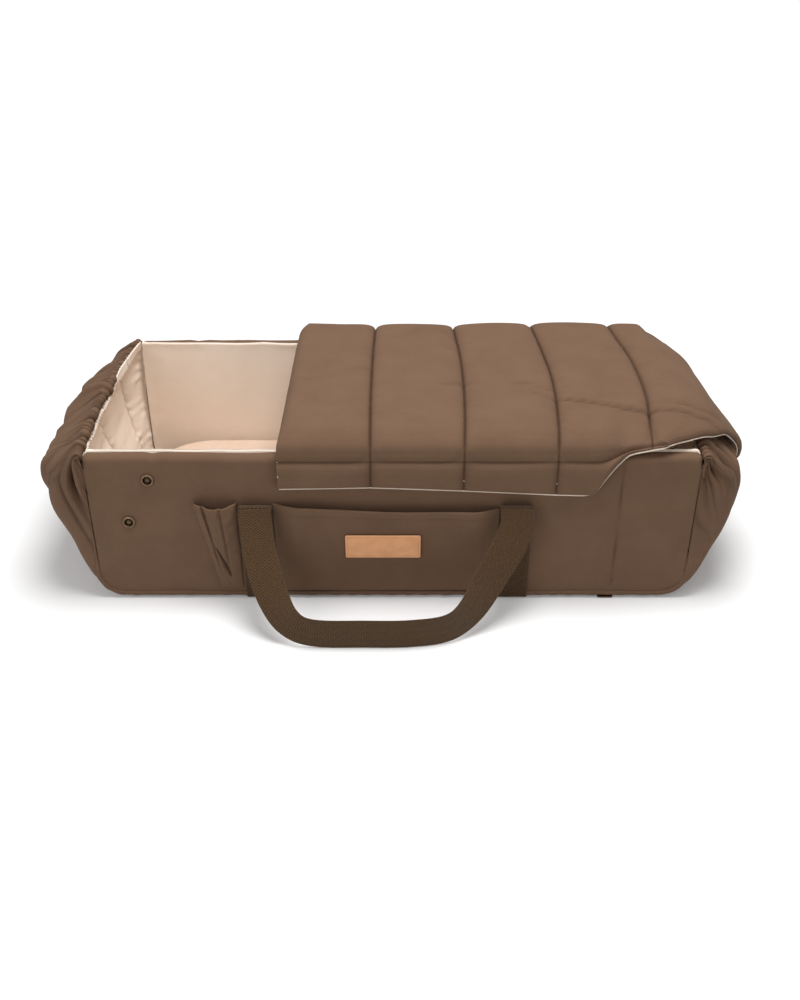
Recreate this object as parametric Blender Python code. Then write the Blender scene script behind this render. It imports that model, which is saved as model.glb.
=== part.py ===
"""Soft carrycot with a quilted cover, webbing handles and a loose mattress.

Units are metres. X runs along the cot with the foot end at +X, Y runs across
it with the label side at -Y, and Z is up. The straps that pass under the base
lie on Z = 0, and the origin is the middle of the floor that the cot covers.
"""
import math

import bmesh
import bpy
from mathutils import Matrix, Vector

for old_object in list(bpy.data.objects):
    bpy.data.objects.remove(old_object, do_unlink=True)

# Driving dimensions
OUTER_WIDTH = 0.345
RIM_HEIGHT = 0.195
SIDE_LENGTH = 0.700
END_REACH = 0.076
WEBBING_WIDTH = 0.038
WEBBING_THICK = 0.002

# Clearance between pieces that lie on each other
SEAT_GAP = 0.0003
# How far a cutter runs past what it cuts
CUT_OVERRUN = 0.002

HALF_WIDTH = OUTER_WIDTH / 2
HALF_LENGTH = SIDE_LENGTH / 2


def material(name, colour, roughness, metallic):
    """A Principled material with one colour."""
    made = bpy.data.materials.new(name)
    made.use_nodes = True
    shader = made.node_tree.nodes["Principled BSDF"]
    shader.inputs["Base Color"].default_value = (*colour, 1)
    shader.inputs["Roughness"].default_value = roughness
    shader.inputs["Metallic"].default_value = metallic
    return made


def brown_cotton(name):
    return material(name + "_cotton", (0.125, 0.077, 0.048), 0.9, 0)


def beige_cotton(name):
    return material(name + "_lining", (0.72, 0.53, 0.40), 0.9, 0)


def olive_webbing(name):
    return material(name + "_webbing", (0.084, 0.050, 0.022), 0.85, 0)


def aged_brass(name):
    return material(name + "_brass", (0.32, 0.22, 0.12), 0.35, 1)


def finish(name, mesh_data, made_material):
    """Give a bmesh an object of its own, with its faces pointing out."""
    bmesh.ops.recalc_face_normals(mesh_data, faces=mesh_data.faces)
    mesh = bpy.data.meshes.new(name)
    mesh_data.to_mesh(mesh)
    mesh_data.free()
    mesh.materials.append(made_material)
    obj = bpy.data.objects.new(name, mesh)
    bpy.context.collection.objects.link(obj)
    return obj


def smooth(obj, angle=math.radians(40)):
    """Shade a round piece smooth, with its sharp edges kept."""
    obj.data.shade_smooth()
    obj.data.set_sharp_from_angle(angle=angle)


def quad_strip(mesh_data, first, second, closed):
    """Bridge two rows of vertices of the same length."""
    count = len(first)
    for index in range(count if closed else count - 1):
        after = (index + 1) % count
        mesh_data.faces.new((first[index], first[after], second[after], second[index]))


def thick_sheet(name, outer_rows, inner_rows, made_material):
    """A closed solid between two grids of points with the same rows and columns."""
    mesh_data = bmesh.new()
    outer = [[mesh_data.verts.new(point) for point in row] for row in outer_rows]
    inner = [[mesh_data.verts.new(point) for point in row] for row in inner_rows]
    for grid in (outer, inner):
        for row, following in zip(grid, grid[1:]):
            quad_strip(mesh_data, row, following, False)
    quad_strip(mesh_data, outer[0], inner[0], False)
    quad_strip(mesh_data, outer[-1], inner[-1], False)
    for side in (0, -1):
        quad_strip(mesh_data, [row[side] for row in outer], [row[side] for row in inner], False)
    return finish(name, mesh_data, made_material)


def ringed_solid(name, rings, made_material):
    """A closed solid through a list of rings of points, capped at both ends."""
    mesh_data = bmesh.new()
    made = [[mesh_data.verts.new(point) for point in ring] for ring in rings]
    for ring, following in zip(made, made[1:]):
        quad_strip(mesh_data, ring, following, True)
    mesh_data.faces.new(made[0])
    mesh_data.faces.new(made[-1])
    return finish(name, mesh_data, made_material)


def ringed_loop(name, rings, made_material):
    """A closed solid through rings of points whose last ring joins the first."""
    mesh_data = bmesh.new()
    made = [[mesh_data.verts.new(point) for point in ring] for ring in rings]
    for ring, following in zip(made, made[1:] + made[:1]):
        quad_strip(mesh_data, ring, following, True)
    return finish(name, mesh_data, made_material)


def edge_bevel(obj, width, segments=2, angle=math.radians(50)):
    """Round the hard edges of a piece."""
    bevel = obj.modifiers.new("soft_edge", "BEVEL")
    bevel.width = width
    bevel.segments = segments
    bevel.limit_method = "ANGLE"
    bevel.angle_limit = angle
    return bevel


def between(start, end, share):
    return start + (end - start) * share


def table(shares, place):
    """Read a table of (place, value) pairs at a place between its points."""
    if place <= shares[0][0]:
        return shares[0][1]
    for (low, low_value), (high, high_value) in zip(shares, shares[1:]):
        if place <= high:
            return between(low_value, high_value, (place - low) / (high - low))
    return shares[-1][1]


def eased(share):
    """Ease a share in and out, held between 0 and 1."""
    held = min(max(share, 0), 1)
    return held * held * (3 - 2 * held)


# Base: a padded panel, a stiff board over it and the floor lining
BASE_THICK = 0.006
BASE_EDGE = 0.0029
BASE_BOTTOM = WEBBING_THICK + SEAT_GAP
BASE_TOP = BASE_BOTTOM + BASE_THICK
CORNER_RADIUS = 0.028
BOARD_THICK = 0.003
BOARD_CORNER = 0.030
BOARD_END_CLEARANCE = 0.006
FLOOR_LINING_THICK = 0.002
CORNER_STEPS = 4
# Zip across the underside at the foot end
ZIP_FROM_END = 0.093
ZIP_TAPE_WIDTH = 0.022
ZIP_TAPE_THICK = 0.0008
ZIP_END_MARGIN = 0.001
ZIP_GROOVE_DEPTH = 0.0034

# Side panels: padded outer, foam stiffener and lining, from outside in
PANEL_THICK = 0.008
STIFFENER_THICK = 0.003
LINING_THICK = 0.008
PANEL_EDGE = 0.004
PANEL_TOP_DROP = 0.0015
STIFFENER_INSET = 0.006
TOP_CORNER_RADIUS = 0.006

ZIP_PLACE = HALF_LENGTH - ZIP_FROM_END
SIDE_BOTTOM = BASE_TOP + SEAT_GAP
SEAM_BOTTOM_X = HALF_LENGTH - CORNER_RADIUS
INNER_HALF_WIDTH = HALF_WIDTH - PANEL_THICK - STIFFENER_THICK - LINING_THICK - 2 * SEAT_GAP


def rounded_rectangle(half_x, half_y, radius, steps):
    """Points round a rectangle with arcs at its corners, anticlockwise."""
    points = []
    for quarter, (side_x, side_y) in enumerate(((1, 1), (-1, 1), (-1, -1), (1, -1))):
        for step in range(steps + 1):
            angle = math.pi / 2 * (quarter + step / steps)
            points.append((side_x * (half_x - radius) + radius * math.cos(angle),
                           side_y * (half_y - radius) + radius * math.sin(angle)))
    return points


def plate(name, outline, bottom, top, made_material):
    """A flat plate from an outline in X and Y."""
    rings = [[(x, y, level) for x, y in outline] for level in (bottom, top)]
    return ringed_solid(name, rings, made_material)


def side_outline(inset, top):
    """The side panel's outline in X and Z, with its round bottom corners."""
    half = HALF_LENGTH - inset
    bottom = SIDE_BOTTOM + inset
    points = []
    for side in (1, -1):
        low_start = -math.pi / 2 if side > 0 else math.pi
        high_start = 0 if side > 0 else math.pi / 2
        low = [(side * (half - CORNER_RADIUS) + CORNER_RADIUS * math.cos(low_start + step),
                bottom + CORNER_RADIUS + CORNER_RADIUS * math.sin(low_start + step))
               for step in (math.pi / 2 * index / CORNER_STEPS for index in range(CORNER_STEPS + 1))]
        high = [(side * (half - TOP_CORNER_RADIUS) + TOP_CORNER_RADIUS * math.cos(high_start + step),
                 top - TOP_CORNER_RADIUS + TOP_CORNER_RADIUS * math.sin(high_start + step))
                for step in (math.pi / 2 * index / 3 for index in range(4))]
        points += low + high if side > 0 else high + low
    return points


def side_slab(name, side, start, thick, inset, top, made_material):
    """A slab of the side wall, from a distance outside in, on side -1 or 1."""
    outside = side * (HALF_WIDTH - start)
    inside = side * (HALF_WIDTH - start - thick)
    outline = side_outline(inset, top)
    rings = [[(x, y, z) for x, z in outline] for y in (outside, inside)]
    return ringed_solid(name, rings, made_material)


def make_base():
    """The padded base, its board, the floor lining and the zip's tape."""
    outline = rounded_rectangle(SEAM_BOTTOM_X, HALF_WIDTH, PANEL_EDGE, 2)
    base = plate("base_panel", outline, BASE_BOTTOM, BASE_TOP, brown_cotton("base_panel"))
    groove_half = ZIP_TAPE_WIDTH / 2 + SEAT_GAP
    groove = [(ZIP_PLACE + side_x * groove_half, side_y * (HALF_WIDTH + CUT_OVERRUN))
              for side_x, side_y in ((-1, -1), (1, -1), (1, 1), (-1, 1))]
    cutter = plate("zip_groove_cutter", groove, BASE_BOTTOM - CUT_OVERRUN,
                   BASE_BOTTOM + ZIP_GROOVE_DEPTH, brown_cotton("zip_groove_cutter"))
    cutter.hide_render = True
    cutter.display_type = "WIRE"
    edge_bevel(base, BASE_EDGE)
    cut = base.modifiers.new("zip_groove", "BOOLEAN")
    cut.object = cutter
    board_half_x = SEAM_BOTTOM_X - BOARD_END_CLEARANCE
    board_half_y = INNER_HALF_WIDTH - SEAT_GAP
    board_outline = rounded_rectangle(board_half_x, board_half_y, BOARD_CORNER, CORNER_STEPS)
    board_bottom = BASE_TOP + SEAT_GAP
    board_top = board_bottom + BOARD_THICK
    plate("base_board", board_outline, board_bottom, board_top,
          material("grey_board", (0.16, 0.16, 0.15), 0.6, 0))
    lining_bottom = board_top + SEAT_GAP
    plate("floor_lining", board_outline, lining_bottom, lining_bottom + FLOOR_LINING_THICK,
          beige_cotton("floor_lining"))
    tape_half_y = HALF_WIDTH - ZIP_END_MARGIN
    tape_half_x = ZIP_TAPE_WIDTH / 2
    tape = [(ZIP_PLACE + side_x * tape_half_x, side_y * tape_half_y)
            for side_x, side_y in ((-1, -1), (1, -1), (1, 1), (-1, 1))]
    tape_top = BASE_BOTTOM + ZIP_GROOVE_DEPTH - SEAT_GAP
    plate("base_zip_tape", tape, tape_top - ZIP_TAPE_THICK, tape_top,
          material("zip_tape", (0.03, 0.02, 0.015), 0.8, 0))
    return lining_bottom + FLOOR_LINING_THICK


# Press studs for a hood, two a side near the head end
STUD_RADIUS = 0.0075
STUD_HEIGHT = 0.0018
STUD_BEAD = 0.0008
STUD_RECESS_RADIUS = 0.0042
STUD_FLOOR = 0.0006
STUD_SHANK_RADIUS = 0.0025
STUD_CAP_RADIUS = 0.0055
STUD_CAP_THICK = 0.0012
STUD_SIDES = 20
STUD_UPPER_FROM_END = 0.072
STUD_UPPER_FROM_RIM = 0.031
STUD_LOWER_FROM_END = 0.044
STUD_LOWER_FROM_RIM = 0.087
STUD_PLACES = (("upper", STUD_UPPER_FROM_END - HALF_LENGTH, RIM_HEIGHT - STUD_UPPER_FROM_RIM),
               ("lower", STUD_LOWER_FROM_END - HALF_LENGTH, RIM_HEIGHT - STUD_LOWER_FROM_RIM))


def turned(name, profile, centre, side, made_material):
    """Turn a closed profile of (radius, distance out) about a line along Y.

    Profile points with zero radius lie on the axis and close the form.
    """
    mesh_data = bmesh.new()
    rings = []
    for radius, out in profile:
        y = centre[1] + side * out
        if radius == 0:
            rings.append([mesh_data.verts.new((centre[0], y, centre[2]))])
            continue
        rings.append([mesh_data.verts.new((centre[0] + radius * math.cos(turn), y,
                                           centre[2] + radius * math.sin(turn)))
                      for turn in (2 * math.pi * index / STUD_SIDES for index in range(STUD_SIDES))])
    hollow = profile[0][0] > 0
    pairs = list(zip(rings, rings[1:]))
    if hollow:
        pairs.append((rings[-1], rings[0]))
    for first, second in pairs:
        if len(first) > 1 and len(second) > 1:
            quad_strip(mesh_data, first, second, True)
            continue
        point, ring = (first[0], second) if len(first) == 1 else (second[0], first)
        for index in range(STUD_SIDES):
            mesh_data.faces.new((point, ring[index], ring[(index + 1) % STUD_SIDES]))
    made = finish(name, mesh_data, made_material)
    smooth(made)
    return made


def round_cutter(name, centre, side, radius, start, end):
    """A round bar along Y that cuts a stud's hole, hidden from the finished cot."""
    profile = [(0, start), (radius, start), (radius, end), (0, end)]
    made = turned(name, profile, centre, side, brown_cotton(name))
    made.hide_render = True
    made.display_type = "WIRE"
    return made


def make_side(word, side):
    """One long side: outer panel, stiffener, lining and its four stud halves."""
    top = RIM_HEIGHT - PANEL_TOP_DROP
    panel = side_slab(word + "_side_panel", side, 0, PANEL_THICK, 0, top,
                      brown_cotton(word + "_side_panel"))
    edge_bevel(panel, PANEL_EDGE, segments=2)
    start = PANEL_THICK + SEAT_GAP
    side_slab(word + "_stiffener", side, start, STIFFENER_THICK, STIFFENER_INSET,
              top - STIFFENER_INSET, material(word + "_foam", (0.65, 0.65, 0.62), 0.9, 0))
    start += STIFFENER_THICK + SEAT_GAP
    lining = side_slab(word + "_lining", side, start, LINING_THICK, 0, RIM_HEIGHT,
                       beige_cotton(word + "_lining"))
    edge_bevel(lining, PANEL_EDGE / 2, segments=1)
    for place, stud_x, stud_z in STUD_PLACES:
        centre = (stud_x, side * HALF_WIDTH, stud_z)
        name = word + "_stud_" + place
        shank_end = SEAT_GAP - PANEL_THICK
        cap_start = shank_end + STUD_CAP_THICK
        socket = [(0, STUD_FLOOR), (STUD_RECESS_RADIUS, STUD_FLOOR),
                  (STUD_RECESS_RADIUS + STUD_BEAD, STUD_HEIGHT),
                  (STUD_RADIUS - STUD_BEAD, STUD_HEIGHT), (STUD_RADIUS, STUD_HEIGHT / 2),
                  (STUD_RADIUS, SEAT_GAP), (STUD_SHANK_RADIUS, SEAT_GAP),
                  (STUD_SHANK_RADIUS, shank_end), (0, shank_end)]
        turned(name, socket, centre, side, aged_brass(name))
        bore = STUD_SHANK_RADIUS + SEAT_GAP
        cap = [(bore, shank_end), (STUD_CAP_RADIUS, shank_end),
               (STUD_CAP_RADIUS, cap_start), (bore, cap_start)]
        turned(name + "_back", cap, centre, side, aged_brass(name + "_back"))
        hole = round_cutter(name + "_hole_cutter", centre, side, bore,
                            CUT_OVERRUN, -PANEL_THICK - CUT_OVERRUN)
        recess = round_cutter(name + "_recess_cutter", centre, side, STUD_CAP_RADIUS + SEAT_GAP,
                              cap_start + SEAT_GAP, -PANEL_THICK - CUT_OVERRUN)
        for cutter in (hole, recess):
            cut = panel.modifiers.new(cutter.name, "BOOLEAN")
            cut.object = cutter


# Ends: a gathered bulge outside and a padded lining inside, hung from the rim
END_STATIONS = 36
END_POWER = 3.2
FOLD_COUNT = 12
FOLD_DEPTH = 0.0025
FOLD_START_SHARE = 0.35
GORE_COUNT = 5
GORE_DEPTH = 0.0022
LINING_LAYER_SHARE = 0.20
PANEL_LAYER_SHARE = 0.235
RIM_TO_WALL = 0.0122
END_TOP = RIM_HEIGHT - RIM_TO_WALL
# Height share and outward share of the reach past the seam, outside then inside
OUTSIDE_SHARES = ((0.0, 0.21), (0.08, 0.46), (0.22, 0.68), (0.42, 0.895), (0.60, 0.985),
                  (0.74, 1.0), (0.87, 0.90), (0.955, 0.66), (1.0, 0.30))
INSIDE_SHARES = ((0.0, 0.0), (0.08, 0.0), (0.22, 0.20), (0.42, 0.50), (0.60, 0.64),
                 (0.74, 0.64), (0.87, 0.50), (0.955, 0.26), (1.0, 0.05))
INSIDE_REACH = 0.040
# The hooked cover draws the foot wall in, from the front corner towards the rear
FOOT_PULL_SHARE = 0.33
FOOT_PULL_FROM_SHARE = -0.80
FOOT_PULL_RUN_SHARE = 1.4
FOOT_PULL_RISE_SHARE = 0.5
FOOT_PULL_FADE_SHARE = 0.06
# Rows above the round corner, as shares of the height left to the rim
END_ROW_SHARES = (0.18, 0.38, 0.60, 0.80, 0.93, 1.0)


def end_seam():
    """Places along X and Z of the seam between an end wall and a side panel."""
    seam = []
    for step in range(CORNER_STEPS + 1):
        turn = math.pi / 2 * step / CORNER_STEPS
        seam.append((SEAM_BOTTOM_X + SEAT_GAP + CORNER_RADIUS * math.sin(turn),
                     SIDE_BOTTOM + CORNER_RADIUS - (CORNER_RADIUS + SEAT_GAP) * math.cos(turn)))
    for share in END_ROW_SHARES:
        seam.append((HALF_LENGTH + SEAT_GAP, between(SIDE_BOTTOM + CORNER_RADIUS, END_TOP, share)))
    return seam


def foot_pull(across, height_share):
    """Share of its reach that the foot wall loses where the cover draws it in."""
    level = eased(height_share / FOOT_PULL_RISE_SHARE) * eased((1 - height_share) / FOOT_PULL_FADE_SHARE)
    return FOOT_PULL_SHARE * level * eased((across - FOOT_PULL_FROM_SHARE) / FOOT_PULL_RUN_SHARE)


def end_point(side, station, seam, depth_share, ripple_at):
    """A point of an end wall: station -1 to 1 across, depth 0 inside to 1 outside."""
    seam_x, z = seam
    height_share = (z - SIDE_BOTTOM) / (END_TOP - SIDE_BOTTOM)
    turn = math.pi / 2 * station
    across = math.copysign(abs(math.sin(turn)) ** (2 / END_POWER), station)
    along = abs(math.cos(turn)) ** (2 / END_POWER)
    outside = END_REACH * table(OUTSIDE_SHARES, height_share)
    if side > 0:
        outside *= 1 - foot_pull(across, height_share)
    inside = INSIDE_REACH * table(INSIDE_SHARES, height_share)
    reach = between(inside, outside, depth_share) + ripple_at(station, height_share)
    y = across * between(INNER_HALF_WIDTH, HALF_WIDTH, depth_share)
    return (side * (seam_x + along * reach), y, z)


def end_grid(side, depth_share, ripple_at):
    """Rows of points over an end wall, from its foot to its rim."""
    stations = [2 * index / END_STATIONS - 1 for index in range(END_STATIONS + 1)]
    return [[end_point(side, station, seam, depth_share, ripple_at) for station in stations]
            for seam in end_seam()]


def fold_ripple(station, height_share):
    """Depth of the gathers, which fade towards the base."""
    wave = math.cos(2 * math.pi * FOLD_COUNT * (station + 1) / 2)
    return FOLD_DEPTH * wave * eased((height_share - FOLD_START_SHARE) / (1 - FOLD_START_SHARE))


def gore_ripple(station, height_share):
    """Each gore of the lining swells a little between its two seams."""
    swell = abs(math.sin(math.pi * GORE_COUNT * (station + 1) / 2))
    return GORE_DEPTH * (1 - swell) * math.sin(math.pi * height_share)


def no_ripple(station, height_share):
    return 0


def make_end(word, side):
    """One end wall: the gathered outside with its wadding, and the lining."""
    thick_sheet(word + "_end_panel", end_grid(side, 1, fold_ripple),
                end_grid(side, PANEL_LAYER_SHARE, no_ripple), brown_cotton(word + "_end_panel"))
    thick_sheet(word + "_end_lining", end_grid(side, LINING_LAYER_SHARE, no_ripple),
                end_grid(side, 0, gore_ripple), beige_cotton(word + "_end_lining"))


# Rim casings with their elastic, from side panel to side panel
CASING_RADIUS = 0.0055
CASING_WALL = 0.0022
CASING_SEAT = 0.0004
CASING_BOW = 0.009
CASING_STATIONS = 16
CASING_SIDES = 10
CASING_END_MARGIN = 0.008


CASING_CENTRE_Z = END_TOP + CASING_SEAT + CASING_RADIUS


def casing_rings(side, radius):
    """Rings of points round the rim's line, from front to rear."""
    half = HALF_WIDTH - CASING_END_MARGIN
    rings = []
    for index in range(CASING_STATIONS + 1):
        station = 2 * index / CASING_STATIONS - 1
        start_x = HALF_LENGTH + SEAT_GAP + CASING_RADIUS
        centre_x = start_x + CASING_BOW * (1 - station ** 2)
        ring = []
        for step in range(CASING_SIDES):
            turn = 2 * math.pi * (step + 0.5) / CASING_SIDES
            ring.append((side * (centre_x + radius * math.cos(turn)), half * station,
                         CASING_CENTRE_Z + radius * math.sin(turn)))
        rings.append(ring)
    return rings


def make_rim(word, side):
    """The sewn tube along an end's rim and the elastic drawn through it."""
    outer = casing_rings(side, CASING_RADIUS)
    inner = casing_rings(side, CASING_RADIUS - CASING_WALL)
    casing = ringed_loop(word + "_rim_casing", outer + inner[::-1],
                         brown_cotton(word + "_rim_casing"))
    smooth(casing)
    elastic = ringed_solid(word + "_elastic",
                           casing_rings(side, CASING_RADIUS - CASING_WALL - SEAT_GAP),
                           material(word + "_elastic", (0.75, 0.75, 0.72), 0.8, 0))
    smooth(elastic)


# Mattress: a foam core in a cover of a top cap and an under sheet
MATTRESS_END_GAP = 0.010
MATTRESS_HEIGHT = 0.040
MATTRESS_CORNER = 0.085
MATTRESS_WALL = 0.002
MATTRESS_SIDE_GAP = 0.003
MATTRESS_CORNER_STEPS = 4
# Height share of the mattress and inset of its outline as a share of its height
MATTRESS_SHARES = ((0.0, 0.75), (0.10, 0.42), (0.32, 0.10), (0.60, 0.0), (0.82, 0.12),
                   (0.93, 0.50), (0.97, 1.3), (1.0, 2.6))


def mattress_ring(height_share, inset, level):
    """The mattress outline at a level, drawn in by an inset."""
    half_x = HALF_LENGTH - MATTRESS_END_GAP - inset
    half_y = INNER_HALF_WIDTH - MATTRESS_SIDE_GAP - inset
    radius = max(MATTRESS_CORNER - inset, MATTRESS_WALL)
    outline = rounded_rectangle(half_x, half_y, radius, MATTRESS_CORNER_STEPS)
    return [(x, y, level) for x, y in outline]


def make_mattress(bottom):
    """The three pieces of the mattress, standing on the floor lining."""
    sheet_top = bottom + MATTRESS_WALL
    cap_bottom = sheet_top + SEAT_GAP
    cap_height = MATTRESS_HEIGHT - MATTRESS_WALL - SEAT_GAP
    under_inset = MATTRESS_SHARES[0][1] * MATTRESS_HEIGHT
    under = mattress_ring(0, under_inset, bottom)
    plate("mattress_under_sheet", [(x, y) for x, y, _ in under], bottom, sheet_top,
          beige_cotton("mattress_under_sheet"))

    def rings(inset, rise, drop):
        return [mattress_ring(share, inset + draw * MATTRESS_HEIGHT,
                              cap_bottom + rise + share * (cap_height - rise - drop))
                for share, draw in MATTRESS_SHARES]

    outer = rings(0, 0, 0)
    inner = rings(MATTRESS_WALL, 0, MATTRESS_WALL)
    mesh_data = bmesh.new()
    shells = []
    for shell in (outer, inner):
        made = [[mesh_data.verts.new(point) for point in ring] for ring in shell]
        for ring, following in zip(made, made[1:]):
            quad_strip(mesh_data, ring, following, True)
        mesh_data.faces.new(made[-1])
        shells.append(made)
    quad_strip(mesh_data, shells[0][0], shells[1][0], True)
    cap = finish("mattress_cover", mesh_data, beige_cotton("mattress_cover"))
    smooth(cap)
    core_inset = MATTRESS_WALL + SEAT_GAP
    core = ringed_solid("mattress_core", rings(core_inset, SEAT_GAP, core_inset),
                        material("mattress_core_foam", (0.80, 0.78, 0.68), 0.95, 0))
    smooth(core)


# Sewn webbing straps and the handles that hang from them
STRAP_SPACING = 0.300
STRAP_SHIFT = -0.007
STRAP_FROM_RIM = 0.069
STRAP_BEND = 0.0025
CURL_RADIUS = 0.0075
CURL_RUN = 0.0035
PIVOT_GAP = 0.0004
HANDLE_MIDDLE_SHARE = 0.5
HANDLE_REACH = 0.083
HANDLE_END_RADIUS = 0.001
HANDLE_STATIONS = 44
# Along the handle: share of its length, place across from left strap (0) to
# right strap (1), outward share of its reach, height share of the pivot's
# height, and turn share from lying flat (0) to standing on edge (1)
HANDLE_SHARES = (
    (0.00, 0.000, 0.000, 1.000, 0.00),
    (0.05, 0.002, 0.075, 0.905, 0.00),
    (0.14, 0.022, 0.330, 0.665, 0.04),
    (0.24, 0.066, 0.640, 0.410, 0.22),
    (0.32, 0.125, 0.880, 0.235, 0.58),
    (0.40, 0.215, 0.985, 0.155, 0.92),
    (0.50, 0.420, 1.000, 0.146, 1.00),
    (0.60, 0.600, 0.985, 0.146, 1.00),
    (0.68, 0.740, 0.880, 0.160, 0.93),
    (0.75, 0.825, 0.690, 0.260, 0.66),
    (0.83, 0.900, 0.430, 0.480, 0.28),
    (0.90, 0.972, 0.215, 0.725, 0.04),
    (0.95, 0.998, 0.085, 0.880, 0.00),
    (1.00, 1.000, 0.000, 1.000, 0.00),
)

STRAP_PLACES = (("left", STRAP_SHIFT - STRAP_SPACING / 2),
                ("right", STRAP_SHIFT + STRAP_SPACING / 2))
STRAP_TOP = RIM_HEIGHT - STRAP_FROM_RIM
STRAP_FACE = HALF_WIDTH + SEAT_GAP + WEBBING_THICK / 2
CURL_END = STRAP_FACE + CURL_RADIUS + CURL_RUN
PIVOT_Y = CURL_END + PIVOT_GAP + HANDLE_END_RADIUS
PIVOT_Z = STRAP_TOP + CURL_RADIUS


def strap_section(centre, across, through, width, thick):
    """Four corners of a webbing's section."""
    half_across = across * (width / 2)
    half_through = through * (thick / 2)
    return [tuple(centre + half_across * first + half_through * second)
            for first, second in ((-1, -1), (1, -1), (1, 1), (-1, 1))]


def make_strap(word, place_x):
    """A strap sewn up both sides and under the base, curled out at its ends."""
    across = Vector((1, 0, 0))
    line = []
    bend = STRAP_BEND + WEBBING_THICK / 2
    curl_steps = 5
    corner_steps = 4
    line.append((CURL_END, PIVOT_Z, 0))
    for step in range(curl_steps + 1):
        turn = math.pi / 2 * (1 - step / curl_steps)
        line.append((STRAP_FACE + CURL_RADIUS - CURL_RADIUS * math.cos(turn),
                     STRAP_TOP + CURL_RADIUS * math.sin(turn), turn))
    for step in range(corner_steps + 1):
        turn = math.pi / 2 * step / corner_steps
        line.append((STRAP_FACE - bend + bend * math.cos(turn),
                     WEBBING_THICK / 2 + bend - bend * math.sin(turn), turn))
    half = [(y, z) for y, z, _ in line]
    path = [(-y, z) for y, z in half] + [(y, z) for y, z in half[::-1]]
    rings = []
    for index, (y, z) in enumerate(path):
        before = path[max(index - 1, 0)]
        after = path[min(index + 1, len(path) - 1)]
        along = Vector((0, after[0] - before[0], after[1] - before[1])).normalized()
        rings.append(strap_section(Vector((place_x, y, z)), across, along.cross(across),
                                   WEBBING_WIDTH, WEBBING_THICK))
    ringed_solid("strap_" + word, rings, olive_webbing("strap_" + word))


def spline_table(rows, place):
    """Read a table of rows at a place with a smooth curve through them."""
    places = [row[0] for row in rows]
    index = max(min(sum(1 for value in places if value <= place), len(rows) - 1), 1)
    low, high = index - 1, index
    span = places[high] - places[low]
    share = (place - places[low]) / span
    values = []
    for column in range(1, len(rows[0])):
        start, end = rows[low][column], rows[high][column]
        before, after = max(low - 1, 0), min(high + 1, len(rows) - 1)
        slope_start = (end - rows[before][column]) / (places[high] - places[before]) * span
        slope_end = (rows[after][column] - start) / (places[after] - places[low]) * span
        cube, square = share ** 3, share ** 2
        values.append((2 * cube - 3 * square + 1) * start + (cube - 2 * square + share) * slope_start
                      + (3 * square - 2 * cube) * end + (cube - square) * slope_end)
    return values


def handle_centre(side, place):
    """A point of the handle's middle line and its turn share."""
    left, right = STRAP_PLACES[0][1], STRAP_PLACES[1][1]
    across, out, height, turn = spline_table(HANDLE_SHARES, place)
    return Vector((between(left, right, across), side * (PIVOT_Y + HANDLE_REACH * out),
                   PIVOT_Z * height)), turn


def make_handle(word, side):
    """A webbing handle from strap to strap, its grip standing on edge."""
    rings = []
    for index in range(HANDLE_STATIONS + 1):
        place = index / HANDLE_STATIONS
        centre, turn = handle_centre(side, place)
        before, _ = handle_centre(side, max(place - 1 / HANDLE_STATIONS, 0))
        after, _ = handle_centre(side, min(place + 1 / HANDLE_STATIONS, 1))
        along = after - before
        if index in (0, HANDLE_STATIONS):
            along.x = 0
        along.normalize()
        flat = Vector((1, 0, 0)) if place < HANDLE_MIDDLE_SHARE else Vector((-1, 0, 0))
        angle = math.pi / 2 * min(max(turn, 0), 1)
        aim = flat * math.cos(angle) + Vector((0, 0, 1)) * math.sin(angle)
        across = (aim - along * aim.dot(along)).normalized()
        rings.append(strap_section(centre, across, along.cross(across),
                                   WEBBING_WIDTH, WEBBING_THICK))
    handle = ringed_solid(word + "_handle", rings, olive_webbing(word + "_handle"))
    pivot = bpy.data.objects.new(word + "_handle_pivot", None)
    pivot.location = (0, side * PIVOT_Y, PIVOT_Z)
    bpy.context.collection.objects.link(pivot)
    handle.parent = pivot
    handle.matrix_parent_inverse = Matrix.Translation(pivot.location).inverted()


# Front pocket between the straps, with its leather patch
POCKET_FROM_BASE = 0.0034
POCKET_FROM_RIM = 0.067
POCKET_TOP_TILT = 0.006
POCKET_GAPE = 0.009
POCKET_CLOTH = 0.0015
POCKET_SEAM = 0.008
POCKET_COLUMNS = 14
POCKET_STEPS = 7
PATCH_WIDTH = 0.088
PATCH_HEIGHT = 0.033
PATCH_THICK = 0.0016
PATCH_SHIFT = -0.004
PATCH_FROM_HEM = 0.049
PATCH_CORNER = 0.002
POCKET_BOTTOM = SIDE_BOTTOM + POCKET_FROM_BASE
POCKET_TOP = RIM_HEIGHT - POCKET_FROM_RIM
PATCH_CENTRE_X = STRAP_SHIFT + PATCH_SHIFT
PATCH_CENTRE_Z = POCKET_TOP - PATCH_FROM_HEM


def pocket_face(x, z):
    """How far the pocket's inner face stands off the side panel."""
    left = STRAP_PLACES[0][1] + WEBBING_WIDTH / 2 + SEAT_GAP
    right = STRAP_PLACES[1][1] - WEBBING_WIDTH / 2 - SEAT_GAP
    across = (x - left) / (right - left)
    inward = eased(min(across, 1 - across) * (right - left) / (2 * POCKET_SEAM))
    upward = eased((z - POCKET_BOTTOM) / (POCKET_TOP - POCKET_BOTTOM))
    return SEAT_GAP + POCKET_GAPE * inward * upward


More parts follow.
